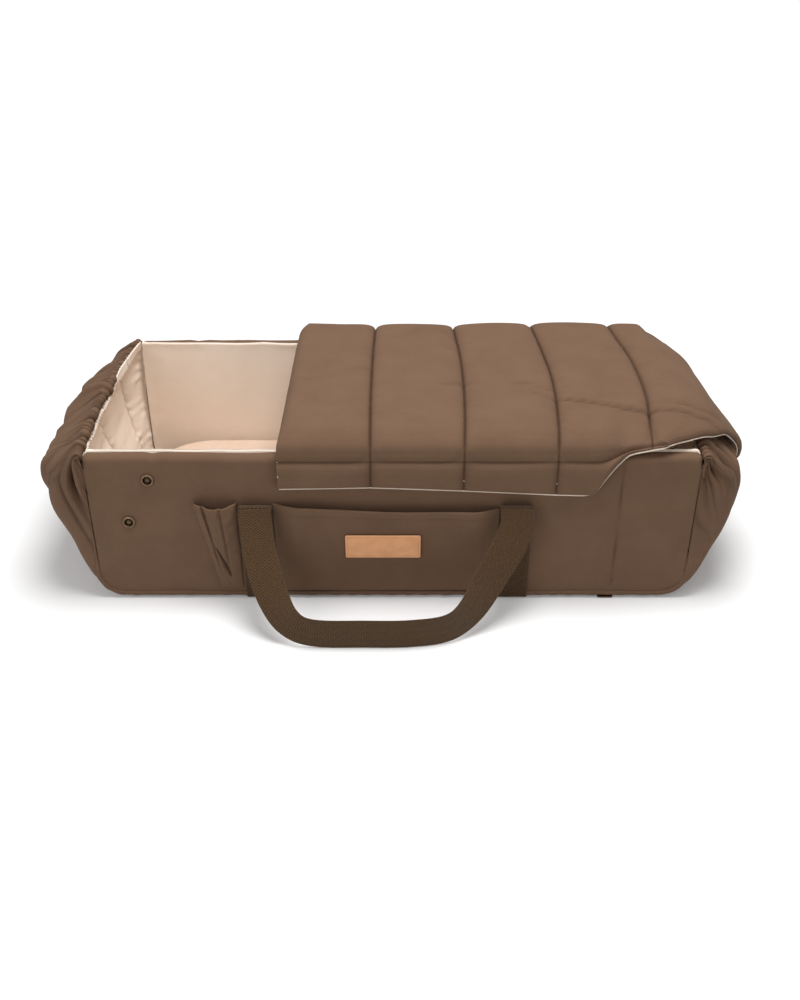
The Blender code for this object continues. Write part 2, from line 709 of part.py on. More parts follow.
def make_front_pocket():
    """The pocket's cloth, sewn down at its sides and foot, and the bare patch."""
    left = STRAP_PLACES[0][1] + WEBBING_WIDTH / 2 + SEAT_GAP
    right = STRAP_PLACES[1][1] - WEBBING_WIDTH / 2 - SEAT_GAP
    outer, inner = [], []
    for row in range(POCKET_STEPS + 1):
        rise = row / POCKET_STEPS
        outer_row, inner_row = [], []
        for column in range(POCKET_COLUMNS + 1):
            share = (1 - math.cos(math.pi * column / POCKET_COLUMNS)) / 2
            x = between(left, right, share)
            top = POCKET_TOP + POCKET_TOP_TILT * (1 - share) ** 2
            z = between(POCKET_BOTTOM, top, rise)
            stand = HALF_WIDTH + pocket_face(x, z)
            inner_row.append((x, -stand, z))
            outer_row.append((x, -stand - POCKET_CLOTH, z))
        outer.append(outer_row)
        inner.append(inner_row)
    thick_sheet("front_pocket", outer, inner, brown_cotton("front_pocket"))
    stand = max(pocket_face(PATCH_CENTRE_X, PATCH_CENTRE_Z + PATCH_HEIGHT / 2),
                pocket_face(PATCH_CENTRE_X, PATCH_CENTRE_Z))
    low_stand = pocket_face(PATCH_CENTRE_X, PATCH_CENTRE_Z - PATCH_HEIGHT / 2)
    outline = rounded_rectangle(PATCH_WIDTH / 2, PATCH_HEIGHT / 2, PATCH_CORNER, 2)
    rings = []
    for lift in (SEAT_GAP, SEAT_GAP + PATCH_THICK):
        ring = []
        for x, z in outline:
            rise = z / PATCH_HEIGHT + 1 / 2
            base = HALF_WIDTH + POCKET_CLOTH + between(low_stand, stand, rise)
            ring.append((PATCH_CENTRE_X + x, -base - lift, PATCH_CENTRE_Z + z))
        rings.append(ring)
    ringed_solid("label_patch", rings, material("tan_leather", (0.55, 0.26, 0.12), 0.6, 0))


# Small open pouch beside the left strap
POUCH_FROM_RIM = 0.059
POUCH_FROM_BASE = 0.0074
POUCH_TOP_WIDTH = 0.050
POUCH_BOTTOM_WIDTH = 0.026
POUCH_TOP_DEPTH = 0.015
POUCH_SWELL_POWER = 0.7
POUCH_CLOTH = 0.0015
POUCH_HEM = 0.003
POUCH_COLUMNS = 12
POUCH_STEPS = 5
POUCH_TOP = RIM_HEIGHT - POUCH_FROM_RIM
POUCH_BOTTOM = SIDE_BOTTOM + POUCH_FROM_BASE


def make_pouch():
    """The pouch's cloth, standing off the panel and closed at its foot."""
    right_top = STRAP_PLACES[0][1] - WEBBING_WIDTH / 2 - SEAT_GAP - POUCH_HEM
    outer, inner = [], []
    for row in range(POUCH_STEPS + 1):
        rise = row / POUCH_STEPS
        width = between(POUCH_BOTTOM_WIDTH, POUCH_TOP_WIDTH, rise)
        depth = between(POUCH_CLOTH, POUCH_TOP_DEPTH, rise ** POUCH_SWELL_POWER)
        z = between(POUCH_BOTTOM, POUCH_TOP, rise)
        centre = right_top - width / 2
        outer_row, inner_row = [], []
        for column in range(POUCH_COLUMNS + 1):
            turn = math.pi * column / POUCH_COLUMNS
            away = math.sin(turn)
            across = -math.cos(turn)
            base = HALF_WIDTH + SEAT_GAP
            outer_row.append((centre + across * (width / 2), -base - away * depth, z))
            inner_row.append((centre + across * (width / 2 - POUCH_CLOTH),
                              -base - away * (depth - POUCH_CLOTH), z))
        outer.append(outer_row)
        inner.append(inner_row)
    thick_sheet("bottle_pouch", outer, inner, brown_cotton("bottle_pouch"))


# Quilted cover: five sewn channels, a turned-down flap and a thin lining
COVER_LINING_THICK = 0.0014
COVER_FLAT = 0.0055
COVER_SEAM = 0.0175
COVER_CROWN = 0.0250
COVER_HEM_THICK = 0.0035
COVER_SHOULDER = 0.006
COVER_FROM_HEAD = 0.220
COVER_FOLD_FROM_FOOT = 0.058
COVER_MAIN_CHANNELS = 4
COVER_CHANNEL_COLUMNS = 6
COVER_SWELL_POWER = 0.55
COVER_EDGE_RUN = 0.014
COVER_FOLD_GAP = 0.0005
COVER_TOP_STEPS = 8
COVER_TURN_STEPS = 3
COVER_FLAP_STEPS = 2
COVER_ROW_POWER = 0.8
FLAP_LENGTH = 0.034
# Share of the main cover's length and share of the flap's full length there
FLAP_SHARES = ((0.0, 1.0), (0.25, 0.94), (0.50, 1.06), (0.75, 1.22), (0.86, 1.24),
               (0.92, 0.55), (0.97, 0.12), (1.0, 0.12))
FOOT_COVER_THICK = 0.0045
FOOT_COVER_FIRST_STATION = 3
FOOT_COVER_RIM_RUN = 0.0025
FOOT_COVER_LIFT = 0.008
FOOT_LIFT_SHARE = 0.12
FOOT_SKIRT_GAP = 0.0012
HALF_SHARE = 0.5
# The wall's rows that the hooked end passes, as shares as in END_ROW_SHARES
FOOT_SKIRT_ROW_SHARES = (0.93, 0.80, 0.60)
# Steps along the hooked end, as shares of the way through its corners
FOOT_COLUMN_SHARES = (0.0, 0.03, 0.07, 0.12, 0.18, 0.25, 0.375, 0.50, 0.625, 0.75, 0.875, 1.0)
# Place across the cot and the share of the hooked end left there, cut away at the front
FOOT_HEM_SHARES = ((-1.0, 0.03), (-0.92, 0.14), (-0.83, 0.24), (-0.71, 0.40), (-0.58, 0.54),
                   (-0.50, 0.74), (-0.43, 0.90), (-0.35, 1.0), (1.0, 1.0))
# Share of the way along and share of the full crown
FOOT_CROWN_SHARES = ((0.0, 0.0), (0.03, 0.55), (0.07, 0.90), (0.12, 1.0), (0.18, 0.85),
                     (0.25, 0.55), (0.375, 0.36), (0.50, 0.25), (0.75, 0.12), (1.0, 0.0))
COVER_OPEN_CLEARANCE = 0.0006

COVER_BED = RIM_HEIGHT + SEAT_GAP
COVER_SIDE = HALF_WIDTH + SEAT_GAP
COVER_START = COVER_FROM_HEAD - HALF_LENGTH
FOLD_X = HALF_LENGTH - COVER_FOLD_FROM_FOOT
COVER_SPAN = FOLD_X - COVER_START
COVER_PITCH = COVER_SPAN / COVER_MAIN_CHANNELS
FOLD_Z = COVER_BED + COVER_LINING_THICK + SEAT_GAP + COVER_CROWN + COVER_OPEN_CLEARANCE


def cover_path(flap, row):
    """Point and outward normal on half the cover's bed, from middle to hem."""
    flat_run = COVER_SIDE - COVER_SHOULDER
    if row <= COVER_TOP_STEPS:
        run = (row / COVER_TOP_STEPS) ** COVER_ROW_POWER * flat_run
        return run, COVER_BED, 0, 1
    if row <= COVER_TOP_STEPS + COVER_TURN_STEPS:
        turn = math.pi / 2 * (row - COVER_TOP_STEPS) / COVER_TURN_STEPS
        return (flat_run + COVER_SHOULDER * math.sin(turn),
                COVER_BED - COVER_SHOULDER + COVER_SHOULDER * math.cos(turn),
                math.sin(turn), math.cos(turn))
    drop = flap * (row - COVER_TOP_STEPS - COVER_TURN_STEPS) / COVER_FLAP_STEPS
    return COVER_SIDE, COVER_BED - COVER_SHOULDER - drop, 1, 0


def channel_swell(x):
    """Share of the full crown at a place along the cover, nothing at a seam."""
    across = (x - COVER_START) / COVER_PITCH
    return abs(math.sin(math.pi * across)) ** COVER_SWELL_POWER


def cover_thickness(x, out):
    """Thickness of the quilted layer at a place along and a distance across."""
    swell = channel_swell(x)
    crown = between(COVER_SEAM, COVER_CROWN, swell)
    flat = between(COVER_HEM_THICK, COVER_FLAT, swell)
    start = COVER_SIDE - COVER_SHOULDER - COVER_EDGE_RUN
    return between(crown, flat, eased((out - start) / COVER_EDGE_RUN))


def cover_rows(xs, low_at, high_at):
    """Two grids of points for one layer of the main cover, hem to hem."""
    count = COVER_TOP_STEPS + COVER_TURN_STEPS + COVER_FLAP_STEPS
    signed = [(-1, row) for row in range(count, 0, -1)] + [(1, row) for row in range(count + 1)]
    outer, inner = [], []
    for x in xs:
        flap = FLAP_LENGTH * table(FLAP_SHARES, (x - COVER_START) / COVER_SPAN)
        outer_row, inner_row = [], []
        for side, row in signed:
            out, level, normal_y, normal_z = cover_path(flap, row)
            low = low_at(x, out)
            high = high_at(x, out)
            inner_row.append((x, side * (out + normal_y * low), level + normal_z * low))
            outer_row.append((x, side * (out + normal_y * high), level + normal_z * high))
        outer.append(outer_row)
        inner.append(inner_row)
    return outer, inner


def foot_cover_line(station):
    """The hooked end's line in X and Z: level to the rim, then down outside the wall."""
    line = [(FOLD_X + COVER_FOLD_GAP, COVER_BED)]
    rim_share = 1 - station ** 2
    rim_x = HALF_LENGTH + SEAT_GAP + CASING_RADIUS + CASING_BOW * rim_share + FOOT_COVER_RIM_RUN
    line.append((rim_x, COVER_BED))
    clearance = FOLD_DEPTH + FOOT_SKIRT_GAP
    for share in FOOT_SKIRT_ROW_SHARES:
        seam = (HALF_LENGTH + SEAT_GAP, between(SIDE_BOTTOM + CORNER_RADIUS, END_TOP, share))
        x, _, z = end_point(1, station, seam, 1, no_ripple)
        line.append((x + clearance, z))
    return line


def along_line(line, share):
    """Point and outward normal at a share of the way through a line's corners."""
    pieces = len(line) - 1
    index = min(int(share * pieces), pieces - 1)
    (start_x, start_z), (end_x, end_z) = line[index], line[index + 1]
    part = share * pieces - index
    before = line[max(index - 1, 0)] if part < HALF_SHARE else line[index]
    after = line[index + 1] if part < HALF_SHARE else line[min(index + 2, pieces)]
    run = Vector((after[0] - before[0], 0, after[1] - before[1])).normalized()
    return between(start_x, end_x, part), between(start_z, end_z, part), -run.z, run.x


def foot_cover_rows(low_at, high_at):
    """Two grids for one layer of the last channel, which hooks over the foot rim."""
    outer, inner = [], []
    for column in FOOT_COLUMN_SHARES:
        outer_row, inner_row = [], []
        for index in range(FOOT_COVER_FIRST_STATION, END_STATIONS - FOOT_COVER_FIRST_STATION + 1):
            station = 2 * index / END_STATIONS - 1
            _, y, _ = end_point(1, station, (0, 0), 1, no_ripple)
            across = y / HALF_WIDTH
            way = column * table(FOOT_HEM_SHARES, across)
            x, z, normal_x, normal_z = along_line(foot_cover_line(station), way)
            z += FOOT_COVER_LIFT * eased(-across) * eased(way / FOOT_LIFT_SHARE)
            edge = eased((1 - abs(across)) * HALF_WIDTH / COVER_EDGE_RUN)
            high, low = high_at(way, edge), low_at(way, edge)
            outer_row.append((x + normal_x * high, y, z + normal_z * high))
            inner_row.append((x + normal_x * low, y, z + normal_z * low))
        outer.append(outer_row)
        inner.append(inner_row)
    return outer, inner


def make_cover():
    """The folding part of the cover, the part that stays, and their linings."""
    columns = COVER_MAIN_CHANNELS * COVER_CHANNEL_COLUMNS
    xs = [COVER_START + COVER_SPAN * index / columns for index in range(columns)]
    xs.append(FOLD_X - COVER_FOLD_GAP)
    bed = COVER_LINING_THICK + SEAT_GAP
    quilt_rows = cover_rows(xs, lambda x, out: bed, lambda x, out: bed + cover_thickness(x, out))
    quilt = thick_sheet("cover_quilt", *quilt_rows, brown_cotton("cover_quilt"))
    lining_rows = cover_rows(xs[::COVER_CHANNEL_COLUMNS // 2], lambda x, out: 0,
                             lambda x, out: COVER_LINING_THICK)
    lining = thick_sheet("cover_lining", *lining_rows, beige_cotton("cover_lining"))
    fold = bpy.data.objects.new("cover_fold", None)
    fold.location = (FOLD_X, 0, FOLD_Z)
    bpy.context.collection.objects.link(fold)
    for piece in (quilt, lining):
        smooth(piece)
        piece.parent = fold
        piece.matrix_parent_inverse = Matrix.Translation(fold.location).inverted()

    def foot_top(way, edge):
        start = between(COVER_SEAM, FOOT_COVER_THICK, eased(way / FOOT_LIFT_SHARE))
        crown = between(start, COVER_CROWN, table(FOOT_CROWN_SHARES, way))
        return bed + between(FOOT_COVER_THICK, crown, edge)

    foot = thick_sheet("foot_cover_quilt", *foot_cover_rows(lambda way, edge: bed, foot_top),
                       brown_cotton("foot_cover_quilt"))
    smooth(foot)
    foot_lining_rows = foot_cover_rows(lambda way, edge: 0, lambda way, edge: COVER_LINING_THICK)
    foot_lining = thick_sheet("foot_cover_lining", *foot_lining_rows,
                              beige_cotton("foot_cover_lining"))
    smooth(foot_lining)


# Slider of the base zip, closed at the front edge, with its pull turned aside
SLIDER_WIDTH = 0.008
SLIDER_LENGTH = 0.010
SLIDER_THICK = 0.0018
SLIDER_ROOF = 0.0006
SLIDER_END_MARGIN = 0.001
PULL_LENGTH = 0.019
PULL_WIDTH = 0.006
PULL_THICK = 0.0011
PULL_CORNER = 0.0025
PULL_FRONT = 0.004
CARE_LABEL_WIDTH = 0.022
CARE_LABEL_DROP = 0.016
CARE_LABEL_THICK = 0.0006
CARE_LABEL_FROM_END = 0.032
CARE_LABEL_X = HALF_LENGTH - CARE_LABEL_FROM_END


def make_zip_slider():
    """The slider body under the tape and its flat pull."""
    tape_bottom = BASE_BOTTOM + ZIP_GROOVE_DEPTH - SEAT_GAP - ZIP_TAPE_THICK
    top = tape_bottom - SEAT_GAP
    y_start = -HALF_WIDTH + ZIP_END_MARGIN + SLIDER_END_MARGIN
    body = [(ZIP_PLACE + x, y_start + SLIDER_LENGTH / 2 + y)
            for x, y in rounded_rectangle(SLIDER_WIDTH / 2, SLIDER_LENGTH / 2, SLIDER_ROOF * 2, 3)]
    plate("base_zip_slider", body, top - SLIDER_THICK, top, aged_brass("base_zip_slider"))
    pull_top = top - SLIDER_THICK - SEAT_GAP
    pull_centre_y = y_start + PULL_WIDTH / 2 - PULL_FRONT
    pull = [(ZIP_PLACE + x, pull_centre_y + y)
            for x, y in rounded_rectangle(PULL_LENGTH / 2, PULL_WIDTH / 2, PULL_CORNER, 4)]
    plate("base_zip_pull", pull, pull_top - PULL_THICK, pull_top, aged_brass("base_zip_pull"))


def make_care_label():
    """A blank white tag sewn inside the front wall near the foot end."""
    top = RIM_HEIGHT - STIFFENER_INSET
    y_wall = -INNER_HALF_WIDTH + SEAT_GAP
    ring = [(CARE_LABEL_X - CARE_LABEL_WIDTH / 2, top - CARE_LABEL_DROP),
            (CARE_LABEL_X + CARE_LABEL_WIDTH / 2, top - CARE_LABEL_DROP),
            (CARE_LABEL_X + CARE_LABEL_WIDTH / 2, top), (CARE_LABEL_X - CARE_LABEL_WIDTH / 2, top)]
    rings = [[(x, y, z) for x, z in ring] for y in (y_wall, y_wall + CARE_LABEL_THICK)]
    ringed_solid("care_label", rings, material("white_tag", (0.8, 0.8, 0.78), 0.7, 0))


floor_top = make_base()
for side_word, side_sign in (("front", -1), ("rear", 1)):
    make_side(side_word, side_sign)
    make_handle(side_word, side_sign)
for end_word, end_sign in (("head", -1), ("foot", 1)):
    make_end(end_word, end_sign)
    make_rim(end_word, end_sign)
for strap_word, strap_x in STRAP_PLACES:
    make_strap(strap_word, strap_x)
make_mattress(floor_top + SEAT_GAP)
make_front_pocket()
make_pouch()
make_cover()
make_zip_slider()
make_care_label()
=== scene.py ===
import math

import bmesh
import bpy
import numpy as np
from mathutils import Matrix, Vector


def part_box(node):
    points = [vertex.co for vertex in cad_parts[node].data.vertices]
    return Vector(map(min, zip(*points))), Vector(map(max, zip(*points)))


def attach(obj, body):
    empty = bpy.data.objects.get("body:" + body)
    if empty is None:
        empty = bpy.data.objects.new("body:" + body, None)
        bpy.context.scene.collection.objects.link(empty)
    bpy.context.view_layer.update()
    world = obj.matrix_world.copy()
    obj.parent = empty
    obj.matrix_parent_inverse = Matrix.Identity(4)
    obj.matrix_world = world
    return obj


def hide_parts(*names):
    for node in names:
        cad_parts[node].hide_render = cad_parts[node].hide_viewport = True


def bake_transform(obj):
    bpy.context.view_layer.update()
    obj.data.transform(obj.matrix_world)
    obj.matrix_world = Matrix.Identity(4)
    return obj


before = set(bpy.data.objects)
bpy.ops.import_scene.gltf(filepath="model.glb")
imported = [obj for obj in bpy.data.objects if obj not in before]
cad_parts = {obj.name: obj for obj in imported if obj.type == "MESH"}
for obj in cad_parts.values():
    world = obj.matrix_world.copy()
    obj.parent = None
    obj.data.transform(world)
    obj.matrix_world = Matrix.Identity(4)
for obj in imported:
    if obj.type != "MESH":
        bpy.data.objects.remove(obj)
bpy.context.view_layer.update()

bpy.ops.object.select_all(action="DESELECT")
scene = bpy.context.scene
scene.view_settings.view_transform = "Standard"
WHITE = (1, 1, 1, 1)


def feed(tree, node, ins):
    """Give a node's inputs plain values, or link them from other nodes' outputs."""
    for key, value in ins.items():
        if isinstance(value, bpy.types.NodeSocket):
            tree.links.new(value, node.inputs[key])
        else:
            node.inputs[key].default_value = value


def wire(tree, kind, out, ins=None, **settings):
    """Add a node to a tree, set and fed, and hand back one of its outputs."""
    node = tree.nodes.new("ShaderNode" + kind)
    for setting, value in settings.items():
        setattr(node, setting, value)
    feed(tree, node, ins or {})
    return node.outputs[out]


def maths(tree, operation, *numbers):
    """A node that works on one, two or three numbers."""
    return wire(tree, "Math", "Value", dict(enumerate(numbers)), operation=operation)


def noise(tree, place, scale, detail, **settings):
    """Soft random patches at a place, of a scale and a detail."""
    ins = {"Vector": place, "Scale": scale, "Detail": detail, **settings}
    return wire(tree, "TexNoise", "Fac", ins)


def bump(tree, strength, distance, height, **under):
    """Relief by a height, on top of another relief where one is given."""
    ins = {"Strength": strength, "Distance": distance, "Height": height, **under}
    return wire(tree, "Bump", "Normal", ins)


def ramp(tree, share, *stops):
    """A colour ramp over a share, through stops of a position and a colour."""
    node = tree.nodes.new("ShaderNodeValToRGB")
    tree.links.new(share, node.inputs["Fac"])
    elements = node.color_ramp.elements
    elements[0].position, elements[0].color = stops[0]
    elements[1].position, elements[1].color = stops[-1]
    for position, colour in stops[1:-1]:
        elements.new(position).color = colour
    return node.outputs["Color"]


def new_finish(name):
    """A new material, its node tree and its main shader."""
    made = bpy.data.materials.new(name)
    made.use_nodes = True
    return made, made.node_tree, made.node_tree.nodes["Principled BSDF"]


# Studio. A plain pale floor that keeps the cot's soft shadow, a white surround,
# two large soft lamps, and a camera in front of the pocket side, looking down.
CAMERA_PLACE = (0.0088, -1.2266, 0.7736)
CAMERA_TILT = math.radians(58.9)
CAMERA_LENS = 38.63
FLOOR_SIZE = 30.0
FLOOR_COLOUR = (0.86, 0.86, 0.86, 1)
FLOOR_LIFT, FLOOR_LIFT_FAR = 0.10, 0.75
SHADOW_REACH = (0.55, 1.5)
WORLD_LIGHT = 0.40
LAMPS = (("top_lamp", (0.14, -0.10, 1.85), (0.0, 0.02, 0.10), 1.0, 32.0),
         ("front_lamp", (-1.20, -1.85, 1.30), (0.0, 0.0, 0.10), 1.4, 11.0))

camera_data = bpy.data.cameras.new("camera")
camera_data.lens = CAMERA_LENS
camera = bpy.data.objects.new("camera", camera_data)
camera.location = CAMERA_PLACE
camera.rotation_euler = (CAMERA_TILT, 0, 0)
scene.collection.objects.link(camera)
scene.camera = camera

for lamp_name, lamp_place, lamp_aim, lamp_size, lamp_power in LAMPS:
    lamp_data = bpy.data.lights.new(lamp_name, "AREA")
    lamp_data.shape = "DISK"
    lamp_data.size = lamp_size
    lamp_data.energy = lamp_power
    lamp = bpy.data.objects.new(lamp_name, lamp_data)
    lamp.location = lamp_place
    to_aim = Vector(lamp_aim) - Vector(lamp_place)
    lamp.rotation_euler = to_aim.to_track_quat("-Z", "Y").to_euler()
    scene.collection.objects.link(lamp)

scene.world = bpy.data.worlds.new("white_surround")
scene.world.use_nodes = True
tree = scene.world.node_tree
seen_or_mirrored = maths(tree, "MAXIMUM", wire(tree, "LightPath", "Is Camera Ray"),
                         wire(tree, "LightPath", "Is Glossy Ray"))
strength = wire(tree, "MapRange", "Result", {
    "Value": seen_or_mirrored, "To Min": WORLD_LIGHT, "To Max": 1.0})
feed(tree, tree.nodes["Background"], {"Color": WHITE, "Strength": strength})

floor_material, tree, shader = new_finish("studio_floor")
floor_away = wire(tree, "VectorMath", "Value", {0: wire(tree, "TexCoord", "Object")},
                  operation="LENGTH")
floor_fade = wire(tree, "MapRange", "Result", {
    "Value": floor_away, "From Min": SHADOW_REACH[0], "From Max": SHADOW_REACH[1],
    "To Min": FLOOR_LIFT, "To Max": FLOOR_LIFT_FAR}, interpolation_type="SMOOTHSTEP")
floor_glow = maths(tree, "MULTIPLY", wire(tree, "LightPath", "Is Camera Ray"), floor_fade)
feed(tree, shader, {
    "Base Color": FLOOR_COLOUR, "Roughness": 1.0, "Specular IOR Level": 0.0,
    "Emission Color": WHITE, "Emission Strength": floor_glow})
bpy.ops.mesh.primitive_plane_add(size=FLOOR_SIZE, location=(0, 0, 0))
floor = bpy.context.active_object
floor.name = "studio_floor"
floor.data.materials.append(floor_material)
bpy.ops.object.select_all(action="DESELECT")

# Base. A padded brown cotton bottom, sewn all round to the walls, with its
# rolled edge showing as a narrow darker band under the side panels.
BROWN = (0.158, 0.0925, 0.0565, 1)
BROWN_DEEP = (0.126, 0.0720, 0.0430, 1)
BASE_PUFF = 0.0007
BASE_EDGE_ROUND = 0.003
THREAD_PITCH = 0.0011
# Colour multiplied into cloth by the per-point crease value, as painted shade in folds, seams and
# wrinkles.
CREASE_SHADE = (0.30, 0.24, 0.20, 1)
ZIP_VALLEY, ZIP_VALLEY_HALF = 0.0032, 0.0145


def cotton_cloth(name, colour, deep, sheen, relief):
    """Woven cotton: crossed threads on the cloth's own UV map, with soft mottling and painted
    shade in its creases.
    """
    made, tree, shader = new_finish(name)
    cloth_map = wire(tree, "UVMap", "UV", uv_map="cloth")
    place = wire(tree, "TexCoord", "Object")
    warp, weft = (wire(tree, "TexWave", "Fac", {
        "Vector": cloth_map, "Scale": math.pi / (10 * THREAD_PITCH), "Distortion": 0.6,
        "Detail": 1.0}, bands_direction=direction) for direction in ("X", "Y"))
    crossed = maths(tree, "MULTIPLY", warp, weft)
    mottle = noise(tree, place, 26.0, 5.0, Roughness=0.62)
    slub = noise(tree, place, 420.0, 3.0)
    mixed = maths(tree, "MULTIPLY_ADD", crossed, 0.45, mottle)
    # Painted shade: the per-point crease value darkens the colour towards CREASE_SHADE.
    darkened = wire(tree, "Mix", "Result", {
        "Factor": wire(tree, "Attribute", "Fac", attribute_name="painted_crease_shade"),
        "A": ramp(tree, mixed, (0.25, deep), (0.85, colour)), "B": CREASE_SHADE},
        data_type="RGBA", blend_type="MULTIPLY")
    weave_relief = bump(tree, relief, THREAD_PITCH / 3, crossed)
    slub_relief = bump(tree, relief / 2, THREAD_PITCH / 2, slub, Normal=weave_relief)
    feed(tree, shader, {
        "Base Color": darkened, "Normal": slub_relief, "Roughness": 0.88,
        "Specular IOR Level": 0.18, "Sheen Weight": sheen, "Sheen Roughness": 0.5,
        "Sheen Tint": colour})
    return made


def points_at(x, y, z):
    """Points from their three coordinates."""
    return np.stack([x, y, z], -1)


def run_length(line):
    """Length along a line of points, from its start to each point."""
    return np.concatenate([[0], np.cumsum(np.linalg.norm(np.diff(line, axis=0), axis=1))])


def cloth_mesh(name, points, faces, finish, place=None, painted_crease_shade=None):
    """A piece with its faces turned outward, its cloth map and painted shade in its creases."""
    mesh = bpy.data.meshes.new(name)
    mesh.from_pydata(np.asarray(points, float).tolist(), [], faces)
    if place is not None:
        corners = [corner for face in faces for corner in face]
        cloth_map = mesh.uv_layers.new(name="cloth")
        cloth_map.data.foreach_set("uv", place[corners].astype(np.float32).ravel())
    if painted_crease_shade is not None:
        shade = mesh.attributes.new("painted_crease_shade", "FLOAT", "POINT")
        shade.data.foreach_set("value", painted_crease_shade.astype(np.float32))
    shaped = bmesh.new()
    shaped.from_mesh(mesh)
    bmesh.ops.recalc_face_normals(shaped, faces=shaped.faces)
    shaped.to_mesh(mesh)
    shaped.free()
    if place is not None:
        mesh.shade_smooth()
    mesh.materials.append(finish)
    made = bpy.data.objects.new(name, mesh)
    scene.collection.objects.link(made)
    return made


def sewn_shell(name, face, back, finish, painted_crease_shade=None):
    """A closed cloth piece between two grids of points, face outside and back inside."""
    rows, columns = face.shape[:2]
    index = np.arange(rows * columns).reshape(rows, columns)
    far = index + rows * columns

    def quads(grid):
        corners = [grid[:-1, :-1], grid[:-1, 1:], grid[1:, 1:], grid[1:, :-1]]
        return np.stack(corners, -1).reshape(-1, 4)

    def rim(first, second):
        return np.stack([first[:-1], second[:-1], second[1:], first[1:]], -1)

    faces = np.concatenate([
        quads(index), quads(far)[:, ::-1], rim(index[0], far[0]), rim(far[-1], index[-1]),
        rim(far[:, 0], index[:, 0]), rim(index[:, -1], far[:, -1])])
    along, down = np.zeros((2, rows, columns))
    along[:, 1:] = np.cumsum(np.linalg.norm(np.diff(face, axis=1), axis=2), axis=1)
    down[1:] = np.cumsum(np.linalg.norm(np.diff(face, axis=0), axis=2), axis=0)
    place = np.stack([along, down], -1).reshape(-1, 2)
    if painted_crease_shade is not None:
        painted_crease_shade = np.concatenate([np.clip(painted_crease_shade, 0, 1).ravel(), np.zeros(rows * columns)])
    return cloth_mesh(name, np.concatenate([face.reshape(-1, 3), back.reshape(-1, 3)]),
                      faces.tolist(), finish, np.concatenate([place, place]), painted_crease_shade)


def round_cord(name, rings, finish):
    """A closed tube through rings of points, flat at its two ends."""
    steps, sides = rings.shape[:2]
    index = np.arange(steps * sides).reshape(steps, sides)
    turned = np.roll(index, -1, axis=1)
    quads = np.stack([index[:-1], turned[:-1], turned[1:], index[1:]], -1).reshape(-1, 4)
    faces = quads.tolist() + [index[0, ::-1].tolist(), index[-1].tolist()]
    around = np.linspace(0, 0.02, sides)
    place = np.broadcast_arrays(run_length(rings.mean(1))[:, None], around[None])
    return cloth_mesh(name, rings.reshape(-1, 3), faces, finish,
                      np.stack(place, -1).reshape(-1, 2))


def crumple(points, pitch, seed, waves=14):
    """Smooth random unevenness, mostly from -1 to 1, of about the given pitch."""
    chance = np.random.default_rng(seed)
    heading = chance.normal(size=(waves, points.shape[-1]))
    heading /= np.linalg.norm(heading, axis=1, keepdims=True)
    heading *= (math.pi / pitch * chance.uniform(0.55, 1.45, waves))[:, None]
    start = chance.uniform(0, 2 * math.pi, waves)
    return np.cos(points @ heading.T + start).sum(-1) / math.sqrt(waves)


def ease(share):
    """A share held between 0 and 1, with a soft start and a soft end."""
    held = np.clip(share, 0, 1)
    return held * held * (3 - 2 * held)


def bell(away, reach):
    """1 in the middle and falling off smoothly to both sides, over a reach."""
    return np.exp(-(away / reach) ** 2)


brown_cotton = cotton_cloth("brown_cotton", BROWN, BROWN_DEEP, 0.14, 0.35)
base_low, base_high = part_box("base_panel")
x, y = np.meshgrid(base_high[0] * np.sin(np.linspace(-1, 1, 161) * math.pi / 2),
                   base_high[1] * np.sin(np.linspace(-1, 1, 81) * math.pi / 2))
edge = np.minimum(base_high[0] - abs(x), base_high[1] - abs(y))
roll = BASE_EDGE_ROUND * (1 - np.sqrt(1 - np.clip(1 - edge / BASE_EDGE_ROUND, 0, 1) ** 2))
flat = points_at(x, y, np.zeros_like(x))
puff = abs(BASE_PUFF * crumple(flat, 0.05, 3) * ease(edge / 0.02))
# The zip lies in a shallow valley across the underside
zip_low, zip_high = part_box("base_zip_tape")
from_zip = abs(x - (zip_low[0] + zip_high[0]) / 2)
valley = ZIP_VALLEY * ease((ZIP_VALLEY_HALF - from_zip) / 0.0025)
base_piece = sewn_shell(
    "base_bottom", points_at(x, y, base_low[2] + roll + puff + valley),
    points_at(x, y, base_high[2] - roll), brown_cotton)
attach(base_piece, "root")
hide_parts("base_panel")

# Long sides. Each is a padded outer panel of brown cotton and a padded beige lining
# over a foam sheet, sewn together along the top, where the lining shows as a pale line.
# The outer panel puckers at its seams and is dented round the press studs.
BEIGE = (0.92, 0.800, 0.685, 1)
BEIGE_DEEP = (0.86, 0.730, 0.605, 1)
SIDE_CORNER, SIDE_TOP_CORNER = 0.028, 0.006
SIDE_ROLL = 0.0024
EDGE_STEPS = np.array([0.0, 0.0005, 0.0012, 0.0022, 0.0034, 0.0048])
TOP_BAND = 0.02
TOP_ROUND = 0.0046
TOP_FILL, TOP_FILL_FROM = 0.0069, 0.1885
TOP_NARROW = 0.0034
TOP_NOTCH_X = -0.272
SIDE_PUCKER, SIDE_SLACK, SIDE_SWELL = 0.0009, 0.0008, 0.0030
BARE_LEFT, BARE_LEFT_HALF, BARE_RIGHT = -0.293, 0.058, 0.172
STITCH_SEAM_X = 0.262
SEAM_WAVER = 0.0012
STUD_DENT, STUD_DENT_REACH = 0.0008, 0.0105
LOW_LIMIT, HIGH_LIMIT = 0.030, 0.142


